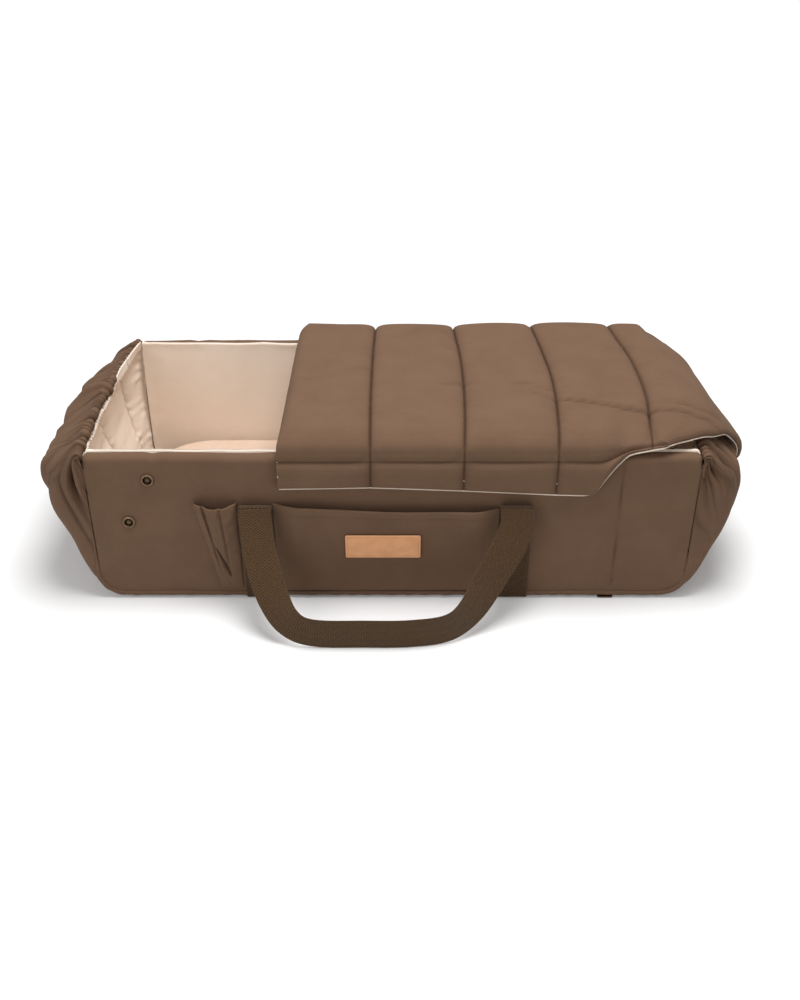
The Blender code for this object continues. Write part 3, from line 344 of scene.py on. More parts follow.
def panel_grid(low, high, corner, top_corner, columns, rows):
    """Points of an upright panel in X and Z, and how far each is from its edge."""
    half = high[0]
    tall = high[2] - low[2]
    by_half, by_tall = EDGE_STEPS / half, EDGE_STEPS / tall
    across = np.concatenate([by_half - 1, np.linspace(-1, 1, columns + 2)[1:-1],
                             (1 - by_half)[::-1]])
    height = np.concatenate([by_tall, np.linspace(0.035, 0.965, rows), (1 - by_tall)[::-1]])
    share_x, share_z = np.meshgrid(np.sort(across), np.sort(height))
    z = low[2] + share_z * tall
    into_corner = np.clip(low[2] + corner - z, 0, corner)
    into_top = np.clip(z - high[2] + top_corner, 0, top_corner)
    reach = half - corner + np.sqrt(corner ** 2 - into_corner ** 2)
    reach -= top_corner - np.sqrt(top_corner ** 2 - into_top ** 2)
    x = share_x * reach
    middle = (low[2] + high[2]) / 2
    radius = np.where(z < middle, corner, top_corner)
    past_x = abs(x) - (half - radius)
    past_z = abs(z - middle) - (tall / 2 - radius)
    outside = np.hypot(np.clip(past_x, 0, None), np.clip(past_z, 0, None))
    edge = radius - outside - np.minimum(np.maximum(past_x, past_z), 0)
    return x, z, np.clip(edge, 0, None)


def rolled(edge, roll):
    """Depth of a rounded edge at a distance from the edge."""
    return roll - np.sqrt(np.clip(roll ** 2 - np.clip(roll - edge, 0, roll) ** 2, 0, None))


def seam_puckers(x, z, low, high, seed):
    """Small creases square to the seams round a panel, strongest at the seam."""
    place = np.stack([x, z], -1)
    along_x = crumple(place * (1, 0.16), 0.0085, seed)
    along_z = crumple(place * (0.16, 1), 0.0095, seed + 1)
    strong = 0.6 + 0.4 * crumple(place, 0.06, seed + 2)
    top = np.exp(-(high[2] - z) / 0.012)
    foot = 0.6 * np.exp(-(z - low[2]) / 0.010)
    ends = np.exp(-(high[0] - abs(x)) / 0.013)
    return strong * (along_x * np.maximum(top, foot) + along_z * ends)


def side_grid(node, columns, rows):
    """A side solid's box, how far out its faces are, and a grid of points on it."""
    low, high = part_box(node)
    inner_y, outer_y = sorted((abs(low[1]), abs(high[1])))
    x, z, edge = panel_grid(low, high, SIDE_CORNER, SIDE_TOP_CORNER, columns, rows)
    return low, high, inner_y, outer_y, x, z, edge, points_at(x, np.zeros_like(x), z)


beige_cotton = cotton_cloth("beige_cotton", BEIGE, BEIGE_DEEP, 0.15, 0.25)
for word, side, seed in (("front", -1, 20), ("rear", 1, 40)):
    low, high, inner_y, outer_y, x, z, edge, flat = side_grid(word + "_side_panel", 230, 64)
    near_top = ease((z - high[2] + TOP_BAND) / TOP_BAND)
    pressed = SIDE_SLACK * (0.5 + 0.35 * crumple(flat, 0.085, seed)
                            + 0.15 * crumple(flat, 0.03, seed + 5))
    pressed += SIDE_PUCKER * np.clip(seam_puckers(x, z, low, high, seed + 7), -0.3, 1.4)
    pressed += rolled(edge, SIDE_ROLL + TOP_ROUND * ease((z - high[2] + TOP_BAND) / 0.010))
    bare = np.maximum(ease((abs(x - BARE_LEFT) - BARE_LEFT_HALF) / -0.025),
                      ease((x - BARE_RIGHT) / 0.03))
    between_cover = ease((z - LOW_LIMIT) / 0.04) * ease((HIGH_LIMIT - z) / 0.03)
    swell = SIDE_SWELL * bare * ease((edge - 0.002) / 0.02) * between_cover
    for stud in ("upper", "lower"):
        stud_low, stud_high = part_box(word + "_stud_" + stud)
        from_stud = np.hypot(x - (stud_low[0] + stud_high[0]) / 2,
                             z - (stud_low[2] + stud_high[2]) / 2)
        swell *= ease((from_stud - 0.0075) / 0.016)
        pressed *= ease((from_stud - 0.004) / 0.02)
        swell -= STUD_DENT * bell(from_stud, STUD_DENT_REACH)
    seam_away = abs(x - STITCH_SEAM_X - SEAM_WAVER * np.sin(z * 45))
    off_edge = ease((edge - 0.004) / 0.01)
    swell -= 0.0016 * bell(seam_away, 0.0022) * off_edge
    worn = 0.0011 * abs(crumple(flat * (1, 1, 0), 0.060, seed + 3))
    worn += 0.0016 * bell(x - TOP_NOTCH_X, 0.006)
    z_worn = z - worn * near_top
    over_top = ease((z - TOP_FILL_FROM) / 0.003)
    face_y = outer_y - np.clip(pressed, -0.0002, None) + swell
    back_y = inner_y - TOP_FILL * over_top + rolled(edge, SIDE_ROLL)
    # Painted shade darkens the groove of the stitched seam.
    panel = sewn_shell(
        word + "_padded_panel", points_at(x, side * face_y, z_worn),
        points_at(x, side * back_y, z_worn), brown_cotton,
        0.45 * bell(seam_away, 0.0012) * off_edge)
    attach(panel, "root")
    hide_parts(word + "_side_panel")

    low, high, inner_y, outer_y, x, z, edge, flat = side_grid(word + "_lining", 200, 48)
    near_top = ease((z - high[2] + TOP_BAND) / TOP_BAND)
    slack = 0.0011 * (0.6 * crumple(flat, 0.11, seed + 9)
                      + 0.4 * crumple(flat * (1, 1, 0.35), 0.04, seed + 10))
    slack += 0.0007 * np.clip(seam_puckers(x, z, low, high, seed + 11), -0.2, 1.3)
    face_y = inner_y + rolled(edge, SIDE_ROLL) * (0.5 + 0.5 * ease((0.348 - abs(x)) / 0.012))
    face_y += np.clip(slack + 0.0008, 0, None) * ease(edge / 0.012)
    z_worn = z - abs(0.0009 * crumple(flat, 0.05, seed + 12) * near_top)
    narrow = TOP_NARROW * ease((z - TOP_FILL_FROM) / 0.003)
    back_y = outer_y - narrow - rolled(edge, SIDE_ROLL)
    lining = sewn_shell(
        word + "_padded_lining", points_at(x, side * face_y, z_worn),
        points_at(x, side * back_y, z_worn), beige_cotton)
    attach(lining, "root")
    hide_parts(word + "_lining")

# Ends. The brown outer cloth is gathered onto the elastic: tight folds at the rim run
# together into wide soft rolls lower down, and at each corner they bunch along the
# seam. The cloth goes over the rim and meets the lining inside.
CORNER_RADIUS = 0.028
SEAM_GAP = 0.0003
END_POWER = 3.2
END_REACH = 0.076
HALF_WIDTH, RIM_HALF_WIDTH, INNER_HALF_WIDTH = 0.1725, 0.1715, 0.1529
LEVELS = (0.0, 0.08, 0.22, 0.42, 0.60, 0.74, 0.87, 0.955, 1.0)
END_SHARES = {"head": (LEVELS, (0.08, 0.17, 0.37, 0.66, 0.86, 0.95, 0.88, 0.66, 0.30)),
              "foot": (LEVELS, (0.10, 0.27, 0.47, 0.75, 0.905, 0.945, 0.86, 0.65, 0.30))}
WADDING = 0.010
RIM_RADIUS = 0.0058
RIM_BOW = 0.009
RIM_CLOTH = 0.0014
FINE_FOLD = 0.0140
FINE_DEEP, PAIRED_DEEP, WIDE_DEEP = 0.0088, 0.0084, 0.0105
RIM_LOWEST = -0.0021
LAP_FROM, LAP, LAP_TUCK = 0.150, 0.0042, 0.0044
SEAM_TUCK = 0.0010
CALM_FROM = -0.62
FOLD_SEED = {"head": 61, "foot": 83}
FOOT_PULL, FOOT_CORNER_PULL = 0.40, 0.20
END_COLUMNS, END_WALL_ROWS, END_RIM_ROWS = 460, 76, 16


def smooth_shares(shares, at, spread=0.03):
    """Read a table of shares with its corners rounded off."""
    fine = np.linspace(-0.2, 1.2, 561)
    values = np.interp(fine, *shares)
    kernel = np.exp(-0.5 * (np.arange(-40, 41) * 0.0025 / spread) ** 2)
    values = np.convolve(np.pad(values, 40, mode="edge"), kernel / kernel.sum(), mode="valid")
    return np.interp(at, fine, values)


def end_curve(station):
    """Shares across an end and out along it, at stations from -1 to 1."""
    across = np.sign(station) * abs(np.sin(station * math.pi / 2)) ** (2 / END_POWER)
    return across, np.cos(station * math.pi / 2).clip(0) ** (2 / END_POWER)


def even_end(count):
    """The end's curve at even steps round it, and each step's place along its length."""
    station = np.linspace(-1, 1, 4001)
    across, along = end_curve(station)
    step = np.hypot(np.diff(across) * HALF_WIDTH, np.diff(along) * END_REACH)
    length = np.concatenate([[0], np.cumsum(step)])
    round_end = np.linspace(0, length[-1], count)
    return *end_curve(np.interp(round_end, length, station)), round_end


def end_wall_line(rows, top):
    """Places along X and Z of the seam between an end and the side panels."""
    turn = np.linspace(0, math.pi / 2, rows // 5)
    bend_x = frame_half - CORNER_RADIUS + SEAM_GAP + CORNER_RADIUS * np.sin(turn)
    bend_z = wall_foot + CORNER_RADIUS - (CORNER_RADIUS + SEAM_GAP) * np.cos(turn)
    rest = np.linspace(wall_foot + CORNER_RADIUS, top, rows - len(turn) + 1)[1:]
    return (np.concatenate([bend_x, np.full(len(rest), frame_half + SEAM_GAP)]),
            np.concatenate([bend_z, rest]))


def unit(vectors):
    """Vectors brought to length one."""
    return vectors / np.maximum(np.linalg.norm(vectors, axis=-1, keepdims=True), 1e-9)


def outward(points):
    """Unit normals of a grid of points, by the right-hand rule of columns and rows."""
    return unit(np.cross(np.gradient(points, axis=1), np.gradient(points, axis=0)))


def spread_out(values, rounds):
    """Even out a grid of normals so that neighbours agree."""
    for _ in range(rounds):
        padded = np.pad(values, ((1, 1), (1, 1), (0, 0)), mode="edge")
        values = (padded[:-2, 1:-1] + padded[2:, 1:-1] + padded[1:-1, :-2]
                  + padded[1:-1, 2:] + 2 * padded[1:-1, 1:-1]) / 6
    return unit(values)


def relax(line):
    """Even out a row of points once, with its two ends held."""
    line[1:-1] = line[1:-1] * 0.5 + (line[:-2] + line[2:]) * 0.25


def drawn_in(side, across, height):
    """Share of its reach that the foot wall keeps where the hooked cover draws it in."""
    level = ease(height / 0.5) * ease((1 - height) / 0.06)
    pull = (FOOT_PULL * ease((across + 0.80) / 1.4)
            + FOOT_CORNER_PULL * ease((across - 0.45) / 0.5))
    return 1 - (side > 0) * pull * level


panel_low, panel_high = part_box("front_side_panel")
frame_half = panel_high[0]
wall_foot = panel_low[2]
wall_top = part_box("head_end_panel")[1][2]
across, along, round_end = even_end(END_COLUMNS)
at_seam = np.minimum(round_end, round_end[-1] - round_end)[None]
corner = ease(1 - at_seam / 0.050)

for word, side in (("head", -1), ("foot", 1)):
    seed = FOLD_SEED[word]
    wall_x, wall_z = end_wall_line(END_WALL_ROWS, wall_top - 0.006)
    height = (wall_z - wall_foot) / (wall_top - wall_foot)
    reach = END_REACH * smooth_shares(END_SHARES[word], height)
    wall = np.stack([
        wall_x[:, None] + along * reach[:, None] * drawn_in(side, across, height[:, None]),
        np.repeat((across * HALF_WIDTH)[None], END_WALL_ROWS, 0),
        np.repeat(wall_z[:, None], END_COLUMNS, 1)], -1)
    # Over the rim: a turn round the casing from outside to inside, closed at its ends
    casing_low, casing_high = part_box(word + "_rim_casing")
    to_end = HALF_WIDTH - 0.0008 - abs(across) * RIM_HALF_WIDTH
    closing = RIM_RADIUS * np.sqrt(np.clip(to_end / 0.0075, 0.01, 1))
    rim_x = frame_half + SEAM_GAP + RIM_RADIUS + RIM_BOW * (1 - across ** 2) - 0.0002
    turn = np.linspace(math.radians(-12), math.radians(222), END_RIM_ROWS)[:, None]
    over = np.stack([
        rim_x + closing * np.cos(turn),
        np.repeat((across * RIM_HALF_WIDTH)[None], END_RIM_ROWS, 0),
        (casing_low[2] + casing_high[2]) / 2 + closing * np.sin(turn)], -1)
    base = np.concatenate([wall, over])
    # Ease the wall into the rim
    for _ in range(30):
        relax(base[END_WALL_ROWS - 9:END_WALL_ROWS + 4])
    normal = spread_out(outward(base), 10)
    step = np.linalg.norm(np.diff(base, axis=0), axis=-1)
    below = np.concatenate([np.cumsum(step[::-1], axis=0)[::-1], np.zeros((1, END_COLUMNS))])
    below = np.clip(below - below[END_WALL_ROWS + END_RIM_ROWS // 2], 0, None)
    # Folds: fine at the rim, wider lower down, with sharp creases and round crests
    place = np.stack([np.repeat(round_end[None], len(base), 0), below], -1)
    drift = 0.0036 * crumple(place * (1, 0.35), 0.04, seed)
    drift += 0.0060 * crumple(place * (0.5, 1), 0.070, seed + 1) * ease(below / 0.05)
    lean = below * (0.22 * crumple(place[:1] * (1, 0), 0.11, seed + 2))
    along_rim = place + np.stack([drift + lean, 0 * drift], -1)
    phase = along_rim[..., 0] / FINE_FOLD
    fullness = 0.75 + 0.40 * crumple(place * (1, 0.25), 0.025, seed + 3)
    single = crumple(along_rim * (1, 0.10), 0.013, seed + 6)
    double = crumple(along_rim * (1, 0.20), 0.020, seed + 7)
    wide = crumple(along_rim * (1, 0.26), 0.036, seed + 8)
    fine_folds = (0.45 * abs(np.sin(math.pi * phase)) ** 0.6
                  + 0.55 * abs(single) ** 0.55 - 0.68)
    fine_fade = np.exp(-(below / (0.024 + 0.030 * corner)) ** 1.3)
    paired_fade = (ease((below + 0.004) / 0.012)
                   * np.exp(-(below / (0.050 + 0.050 * corner)) ** 1.6))
    wide_fade = (ease((below - 0.002) / 0.030)
                 * np.exp(-(below / (0.100 + 0.02 * corner)) ** 2.2))
    inside_rim = np.concatenate([np.ones(END_WALL_ROWS), np.linspace(1, 0.85, END_RIM_ROWS)])
    swell = (FINE_DEEP * fine_folds * fine_fade
             + PAIRED_DEEP * (abs(double) ** 0.6 - 0.66) * paired_fade
             + WIDE_DEEP * wide_fade * (abs(wide) ** 0.7 - 0.62) * (1 - 0.55 * corner))
    swell *= fullness * inside_rim[:, None]
    in_fold = (phase - np.round(phase)) * FINE_FOLD
    # Painted shade darkens the creases of the folds.
    shade = (0.50 * bell(in_fold, 0.0020) * fine_fade + 0.60 * bell(single, 0.30) * fine_fade
             + 0.55 * bell(double, 0.20) * paired_fade + 0.42 * bell(wide, 0.13) * wide_fade)
    if side > 0:
        # The hooked cover holds the folds of the foot end flat
        calm = ease((across - CALM_FROM) / 0.25)
        swell *= 1 - 0.65 * calm
        shade *= 1 - 0.8 * calm
    swell += 0.0011 * crumple(place, 0.035, seed + 4) * ease(below / 0.03)
    swell *= ease(at_seam / 0.005) * 0.85 + 0.15
    swell -= SEAM_TUCK * np.exp(-at_seam / 0.0020) * ease(below / 0.02)
    swell[:END_WALL_ROWS] *= ease((wall_z - wall_foot) / 0.012)[:, None]
    swell[END_WALL_ROWS:] = np.maximum(swell[END_WALL_ROWS:], RIM_LOWEST)
    face = base + normal * swell[..., None]
    # Near the rim the cloth laps over the corner seam
    high_up = ease((base[..., 2] - LAP_FROM) / 0.03)
    lap = LAP * high_up + 0.10 * (base[..., 2] < wall_foot + CORNER_RADIUS)
    face[..., 0] = np.maximum(face[..., 0] - LAP_TUCK * np.exp(-at_seam / 0.007) * high_up,
                              frame_half + 0.0002 - lap)
    thick = np.concatenate([
        np.linspace(WADDING * 0.6, WADDING, END_WALL_ROWS - 14),
        np.linspace(WADDING, 0.0016, 14), np.full(END_RIM_ROWS, RIM_CLOTH)])[:, None]
    thick = thick * (0.25 + 0.75 * ease(at_seam / 0.02)) + np.clip(-swell, 0, None) * 0.6
    back = base - normal * thick[..., None]
    face[..., 0] *= side
    back[..., 0] *= side
    cloth = sewn_shell(word + "_gathered_end", face, back, brown_cotton, shade)
    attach(cloth, "root")
    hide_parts(word + "_end_panel", word + "_rim_casing")

# End linings. Padded beige cotton in leaf-shaped gores, gathered at the rim into a
# small ruffle. The seams between the gores are pulled in and pucker the cloth.
INSIDE_REACH = 0.040
INSIDE_SHARES = (LEVELS, (0.0, 0.0, 0.20, 0.50, 0.64, 0.64, 0.50, 0.26, 0.05))
GORE_SEAM_Z = (0.036, 0.066, 0.093, 0.116, 0.139, 0.163, 0.190)
GORE_SEAMS = ((-0.121, -0.119, -0.119, -0.118, -0.112, -0.101, -0.092),
              (0.047, 0.041, 0.031, 0.020, 0.005, -0.012, -0.028),
              (0.121, 0.119, 0.119, 0.118, 0.112, 0.101, 0.092))
GORE_SWELL = 0.0100
GORE_LEAN = 0.0036
LINING_PAD = 0.006
HEM_LOW, HEM_RISE = 0.1808, 0.0154
HEM_OUT, HEM_IN = 0.0030, 0.0046
RUFFLE_PITCH = 0.0078
KNOT_Z = 0.040
LINING_COLUMNS, LINING_ROWS, RUFFLE_ROWS = 300, 84, 10

across, along, round_lining = even_end(LINING_COLUMNS)
for word, side in (("head", -1), ("foot", 1)):
    seed = FOLD_SEED[word] + 100
    wall_x, wall_z = end_wall_line(LINING_ROWS, wall_top)
    height = (wall_z - wall_foot) / (wall_top - wall_foot)
    reach = INSIDE_REACH * smooth_shares(INSIDE_SHARES, height)
    x = wall_x[:, None] + along * reach[:, None] - 0.0030 * np.exp((abs(across) - 1) * 40)
    rise = np.linspace(0, 1, RUFFLE_ROWS + 1)[1:, None]
    ruffled = ease((across - 0.10) / 0.35)
    hem_x = frame_half + SEAM_GAP + RIM_BOW * (1 - across ** 2) + HEM_OUT - HEM_IN * ruffled
    hem_z = HEM_LOW + HEM_RISE * ruffled
    # The wall's top follows the hem
    to_hem = (hem_x - frame_half - SEAM_GAP - 0.0006) * ease((height[:, None] - 0.6) / 0.3)
    x = np.maximum(x, wall_x[:, None] + to_hem)
    x = np.concatenate([x, x[-1:] * (1 - ease(rise)) + hem_x * ease(rise)])
    y = np.repeat((across * INNER_HALF_WIDTH)[None], LINING_ROWS + RUFFLE_ROWS, 0)
    z = np.concatenate([np.repeat(wall_z[:, None], LINING_COLUMNS, 1),
                        wall_top + (hem_z - wall_top) * rise])
    base = points_at(x, y, z)
    normal = -spread_out(outward(base), 6)
    seams = [np.full_like(y, -INNER_HALF_WIDTH)]
    seams += [np.interp(z, GORE_SEAM_Z, line) for line in GORE_SEAMS]
    seams += [np.full_like(y, INNER_HALF_WIDTH)]
    swell = np.zeros_like(y)
    nearest = np.full_like(y, 1.0)
    for left, right in zip(seams, seams[1:]):
        share = np.clip((y - left) / (right - left), 0, 1)
        inside = (y >= left) & (y <= right)
        crown = (1 - abs(2 * share - 1) ** 3.2) ** 0.5
        swell = np.where(inside, crown * (0.7 + 0.3 * share), swell)
        nearest = np.where(inside, np.minimum(y - left, right - y), nearest)
    level = 0.22 + 0.78 * ease((wall_top - z) / 0.055)
    level *= 0.40 + 0.60 * ease((z - 0.030) / 0.05)
    place = np.stack([y, z], -1)
    slanted = np.stack([y + z * 0.55, z - y * 0.35], -1)
    wrinkle = (crumple(slanted * (0.30, 1), 0.017, seed)
               * (0.55 + 0.45 * crumple(place, 0.06, seed + 1)))
    pucker = crumple(place * (0.30, 1), 0.0075, seed + 2) * np.exp(-nearest / 0.009)
    gather_at = round_lining[None] + 0.002 * crumple(place, 0.03, seed + 3)
    gather = abs(np.sin(math.pi * gather_at / RUFFLE_PITCH)) ** 0.8 - 0.6
    gather_fade = np.exp(-np.clip(wall_top + 0.002 - z, 0, None) / 0.010)
    lift = (GORE_SWELL * swell * level - GORE_LEAN + 0.0015 * wrinkle * swell
            + 0.0011 * pucker + 0.0022 * gather * gather_fade)
    lift *= ease(np.minimum(1, (1 - abs(across)) * 40 + 0.15))[None]
    lift = np.where(z > wall_top, 0.0024 * gather * (0.3 + 0.7 * ruffled) - 0.0002, lift)
    face = base + normal * lift[..., None]
    face[LINING_ROWS:, :, 2] += 0.0020 * gather[LINING_ROWS:] * rise
    pad = LINING_PAD * np.concatenate([
        np.linspace(0.4, 1, LINING_ROWS - 12), np.linspace(1, 0.28, 12),
        np.full(RUFFLE_ROWS, 0.22)])[:, None]
    pad = pad * (0.3 + 0.7 * ease((1 - abs(across)) * 12)) + np.clip(-lift, 0, None)
    back = base - normal * pad[..., None]
    face[..., 0] *= side
    back[..., 0] *= side
    knot = np.hypot(abs(y) - INNER_HALF_WIDTH + 0.001, z - KNOT_Z)
    # Painted shade in the grooves of the gore seams, in the wrinkles and in the ruffle's folds,
    # with a dark mark at the knot.
    shade = (0.60 * bell(nearest, 0.0011) + 0.06 * np.exp(-nearest / 0.006)
             + 0.10 * np.clip(-wrinkle - 0.35, 0, 1) * swell + 0.7 * bell(knot, 0.0030)
             + 0.35 * np.clip(-gather - 0.15, 0, 1) * gather_fade)
    gores = sewn_shell(word + "_padded_gores", face, back, beige_cotton, shade)
    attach(gores, "root")
    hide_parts(word + "_end_lining")

# Floor lining. One thin beige layer over the stiff board, sewn in at its edges; the
# mattress lies on it.
FLOOR_CORNER = 0.025
low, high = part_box("floor_lining")
x, y, edge = panel_grid((0, 0, -high[1]), (high[0], 0, high[1]), FLOOR_CORNER, FLOOR_CORNER,
                        150, 70)
flat = points_at(x, y, np.zeros_like(x))
uneven = 0.0005 * (0.6 * crumple(flat, 0.07, 210) + 0.4 * crumple(flat, 0.025, 211)) - 0.0006
top = high[2] + np.clip(uneven, -0.0012, -0.0001) - rolled(edge, 0.0008)
floor_cloth = sewn_shell("floor_cloth", points_at(x, y, top),
                         points_at(x, y, np.full_like(x, low[2])), beige_cotton)
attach(floor_cloth, "root")
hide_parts("floor_lining")

# Mattress. A foam core in a beige cotton cover, oval at its corners, soft-edged and
# lightly crowned, with a sewn seam low round its side.
MATTRESS_BEIGE, MATTRESS_DEEP = (0.70, 0.535, 0.42, 1), (0.62, 0.46, 0.35, 1)
MATTRESS_CORNER = 0.085
MATTRESS_ROUND, MATTRESS_UNDER_ROUND = 0.024, 0.020
MATTRESS_CROWN = 0.0012
MATTRESS_SEAM_LEVEL = 0.42
mattress_cotton = cotton_cloth("mattress_cotton", MATTRESS_BEIGE, MATTRESS_DEEP, 0.12, 0.3)
low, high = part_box("mattress_cover")
sheet_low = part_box("mattress_under_sheet")[0][2]
x, y, edge = panel_grid((0, 0, -high[1]), (high[0], 0, high[1]), MATTRESS_CORNER,
                        MATTRESS_CORNER, 190, 96)
flat = points_at(x, y, np.zeros_like(x))
equator = sheet_low + MATTRESS_SEAM_LEVEL * (high[2] - sheet_low)
rise = (1 - np.clip(1 - edge / MATTRESS_ROUND, 0, 1) ** 2.3) ** 0.5
sink = (1 - np.clip(1 - edge / MATTRESS_UNDER_ROUND, 0, 1) ** 2.2) ** 0.55
soft = crumple(flat, 0.12, 220) * 0.0009 + crumple(flat, 0.035, 221) * 0.00035
top = equator + (high[2] - equator - MATTRESS_CROWN) * rise
top += MATTRESS_CROWN * ease((edge - 0.003) / 0.05)
top += np.clip(soft, -0.004, 0.0003) * ease(edge / 0.02)
top += 0.0008 * crumple(flat, 0.016, 222) * np.exp(-edge / 0.006)
under = equator - 0.001 - (equator - sheet_low - 0.001) * sink
mattress = sewn_shell("mattress", points_at(x, y, top), points_at(x, y, under),
                      mattress_cotton)
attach(mattress, "mattress")
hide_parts("mattress_cover", "mattress_under_sheet", "mattress_core")

# Bottom seams. Front and rear, the panel and the base are sewn together in a rolled
# seam that shows as a narrow padded band along the foot and up round each corner.
ROLL_RADIUS = 0.0038
ROLL_SIDES, ROLL_STEPS = 10, 420
ROLL_Y, ROLL_Z, ROLL_TOP = 0.1702, 0.0066, 0.078
ROLL_THINNED = 0.72
slider_low, slider_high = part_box("base_zip_slider")
from_slider = (slider_low[0] + slider_high[0]) / 2
turn = np.linspace(math.pi / 2, 0, 60)
arc = CORNER_RADIUS + wall_foot - ROLL_Z
straight = frame_half - CORNER_RADIUS
left_x = np.concatenate([np.full(24, -straight - arc), -straight - arc * np.sin(turn)])
left_z = np.concatenate([np.linspace(ROLL_TOP, ROLL_Z + arc, 24),
                         ROLL_Z + arc * (1 - np.cos(turn))])
line = np.stack([np.concatenate([left_x, -left_x[::-1]]),
                 np.concatenate([left_z, left_z[::-1]])], -1)
length = run_length(line)
at = np.linspace(0, length[-1], ROLL_STEPS)
middle = np.stack([np.interp(at, length, line[:, axis]) for axis in (0, 1)], -1)
ahead = np.gradient(middle, axis=0)
ahead /= np.linalg.norm(ahead, axis=1, keepdims=True)
angle = np.linspace(0, 2 * math.pi, ROLL_SIDES + 1)[:-1]
for word, side, seed in (("front", -1, 300), ("rear", 1, 301)):
    radius = ROLL_RADIUS * (0.25 + 0.75 * ease(np.minimum(at, at[-1] - at) / 0.055))
    radius *= 1 + 0.07 * crumple(at[:, None], 0.011, seed)
    if side > 0:
        # Pressed thin where the zip slider comes to rest beside it
        beside = 1 - ease((abs(middle[:, 0] - from_slider) - 0.012) / 0.014)
        radius *= 1 - ROLL_THINNED * beside
    radius = radius[:, None]
    ring_x = middle[:, :1] - ahead[:, 1:] * radius * np.cos(angle)
    ring_z = middle[:, 1:] + ahead[:, :1] * radius * np.cos(angle)
    ring_y = side * (ROLL_Y + radius * np.sin(angle))
    roll = round_cord(word + "_seam_roll", points_at(ring_x, ring_y, ring_z), brown_cotton)
    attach(roll, "root")

# Front pocket. One layer of brown cotton between the straps, sewn down at its foot
# and sides under the webbing, with a double-turned hem at its open top.
POCKET_TOP = 0.128
POCKET_TILT = 0.006
POCKET_SAG = 0.0022
POCKET_CLOTH = 0.0013
POCKET_STAND = (0.0003, 0.0118)
POCKET_HEM = 0.011
STITCH_DROP = 0.0006
STRAP_X = (-0.157, 0.143)
STRAP_WIDTH = 0.038
low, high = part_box("front_pocket")
share_x, share_z = np.meshgrid(np.linspace(0, 1, 170), np.linspace(0, 1, 84))
x = low[0] + share_x * (high[0] - low[0])
top = POCKET_TOP + POCKET_TILT * (1 - share_x) ** 2
z = low[2] + share_z * (top - low[2]) - POCKET_SAG * np.sin(math.pi * share_x) ** 2 * share_z ** 4
from_side = np.minimum(share_x, 1 - share_x) * (high[0] - low[0])
stand = POCKET_STAND[0] + 0.009 * ease(from_side / 0.030) ** 0.8 * ease(share_z) ** 1.15
place = np.stack([x, z], -1)
stand += (0.0011 * crumple(place * (1, 0.45), 0.050, 230) * ease(from_side / 0.02)
          * ease(share_z * 3))
stand += 0.0005 * crumple(place * (1, 0.3), 0.012, 231) * np.exp(-from_side / 0.018)
stand = np.clip(stand, *POCKET_STAND)
from_hem = (1 - share_z) * (POCKET_TOP - low[2])
hem = 0.0005 * ease((POCKET_HEM - from_hem) / 0.0012)
stitch = 0.0006 * bell(from_hem - POCKET_HEM + STITCH_DROP, 0.0009)
front = HALF_WIDTH + stand + POCKET_CLOTH + hem - stitch - 0.0007 * np.exp(-from_hem / 0.0006)
face = points_at(x, -front, z)
pocket = sewn_shell("pocket_cloth", face, points_at(x, -(HALF_WIDTH + stand), z),
                    brown_cotton)
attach(pocket, "root")
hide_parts("front_pocket")


def thread_finish(name, colour):
    """Matt sewing thread, twisted fine."""
    made, tree, shader = new_finish(name)
    twist = noise(tree, wire(tree, "TexCoord", "Object"), 2500.0, 2.0)
    deep = tuple(0.75 * part for part in colour[:3]) + (1,)
    feed(tree, shader, {
        "Base Color": ramp(tree, twist, (0, deep), (1, colour)), "Roughness": 0.7})
    return made


STITCH_FACES = ((0, 4, 2), (0, 2, 5), (0, 5, 3), (0, 3, 4), (1, 2, 4), (1, 5, 2), (1, 3, 5),
                (1, 4, 3))


def stitch_row(name, lines, outside, pitch, finish, gauge=0.00022):
    """Small raised stitches at even steps along lines of points, all facing one way."""
    points, faces = [], []
    outside = np.array(outside, float)
    for line in lines:
        line = np.array(line, float)
        length = run_length(line)
        count = max(int(length[-1] / pitch), 1)
        middles = (np.arange(count) + 0.5) * length[-1] / count
        ends = [np.stack([np.interp(middles + half, length, line[:, axis])
                          for axis in range(3)], -1)
                for half in (-0.34 * pitch, 0.34 * pitch)]
        for start, end in zip(*ends):
            first = len(points)
            middle, sideways = (start + end) / 2, np.cross(end - start, outside)
            sideways *= gauge / max(np.linalg.norm(sideways), 1e-9)
            points += [start, end, middle + outside * gauge * 1.3, middle - outside * gauge,
                       middle + sideways, middle - sideways]
            faces += [[first + corner for corner in face] for face in STITCH_FACES]
    return cloth_mesh(name, points, faces, finish)


brown_thread = thread_finish("brown_thread", (0.120, 0.070, 0.040, 1))
hem_row = int(np.argmin(abs(from_hem[:, 0] - POCKET_HEM + STITCH_DROP)))
pocket_stitches = stitch_row("pocket_stitches", [face[hem_row] - (0, 0.0002, 0)], (0, -1, 0),
                             0.0030, brown_thread)
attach(pocket_stitches, "root")

# Leather patch. A bare tan leather tag, skived at its edge and sewn on all round.
TAN = (0.78, 0.390, 0.190, 1)
TAN_DEEP = (0.70, 0.335, 0.155, 1)
PATCH_CORNER = 0.0022
PATCH_THICK = 0.0016
PATCH_STITCH_IN = 0.0027
leather, tree, shader = new_finish("tan_leather")
place = wire(tree, "TexCoord", "Object")
grain = wire(tree, "TexVoronoi", "Distance", {"Vector": place, "Scale": 900.0})
clouds = noise(tree, place, 95.0, 5.0)
feed(tree, shader, {
    "Base Color": ramp(tree, clouds, (0.25, TAN_DEEP), (0.65, TAN)), "Roughness": 0.52,
    "Specular IOR Level": 0.35, "Normal": bump(tree, 0.35, 0.0004, grain)})

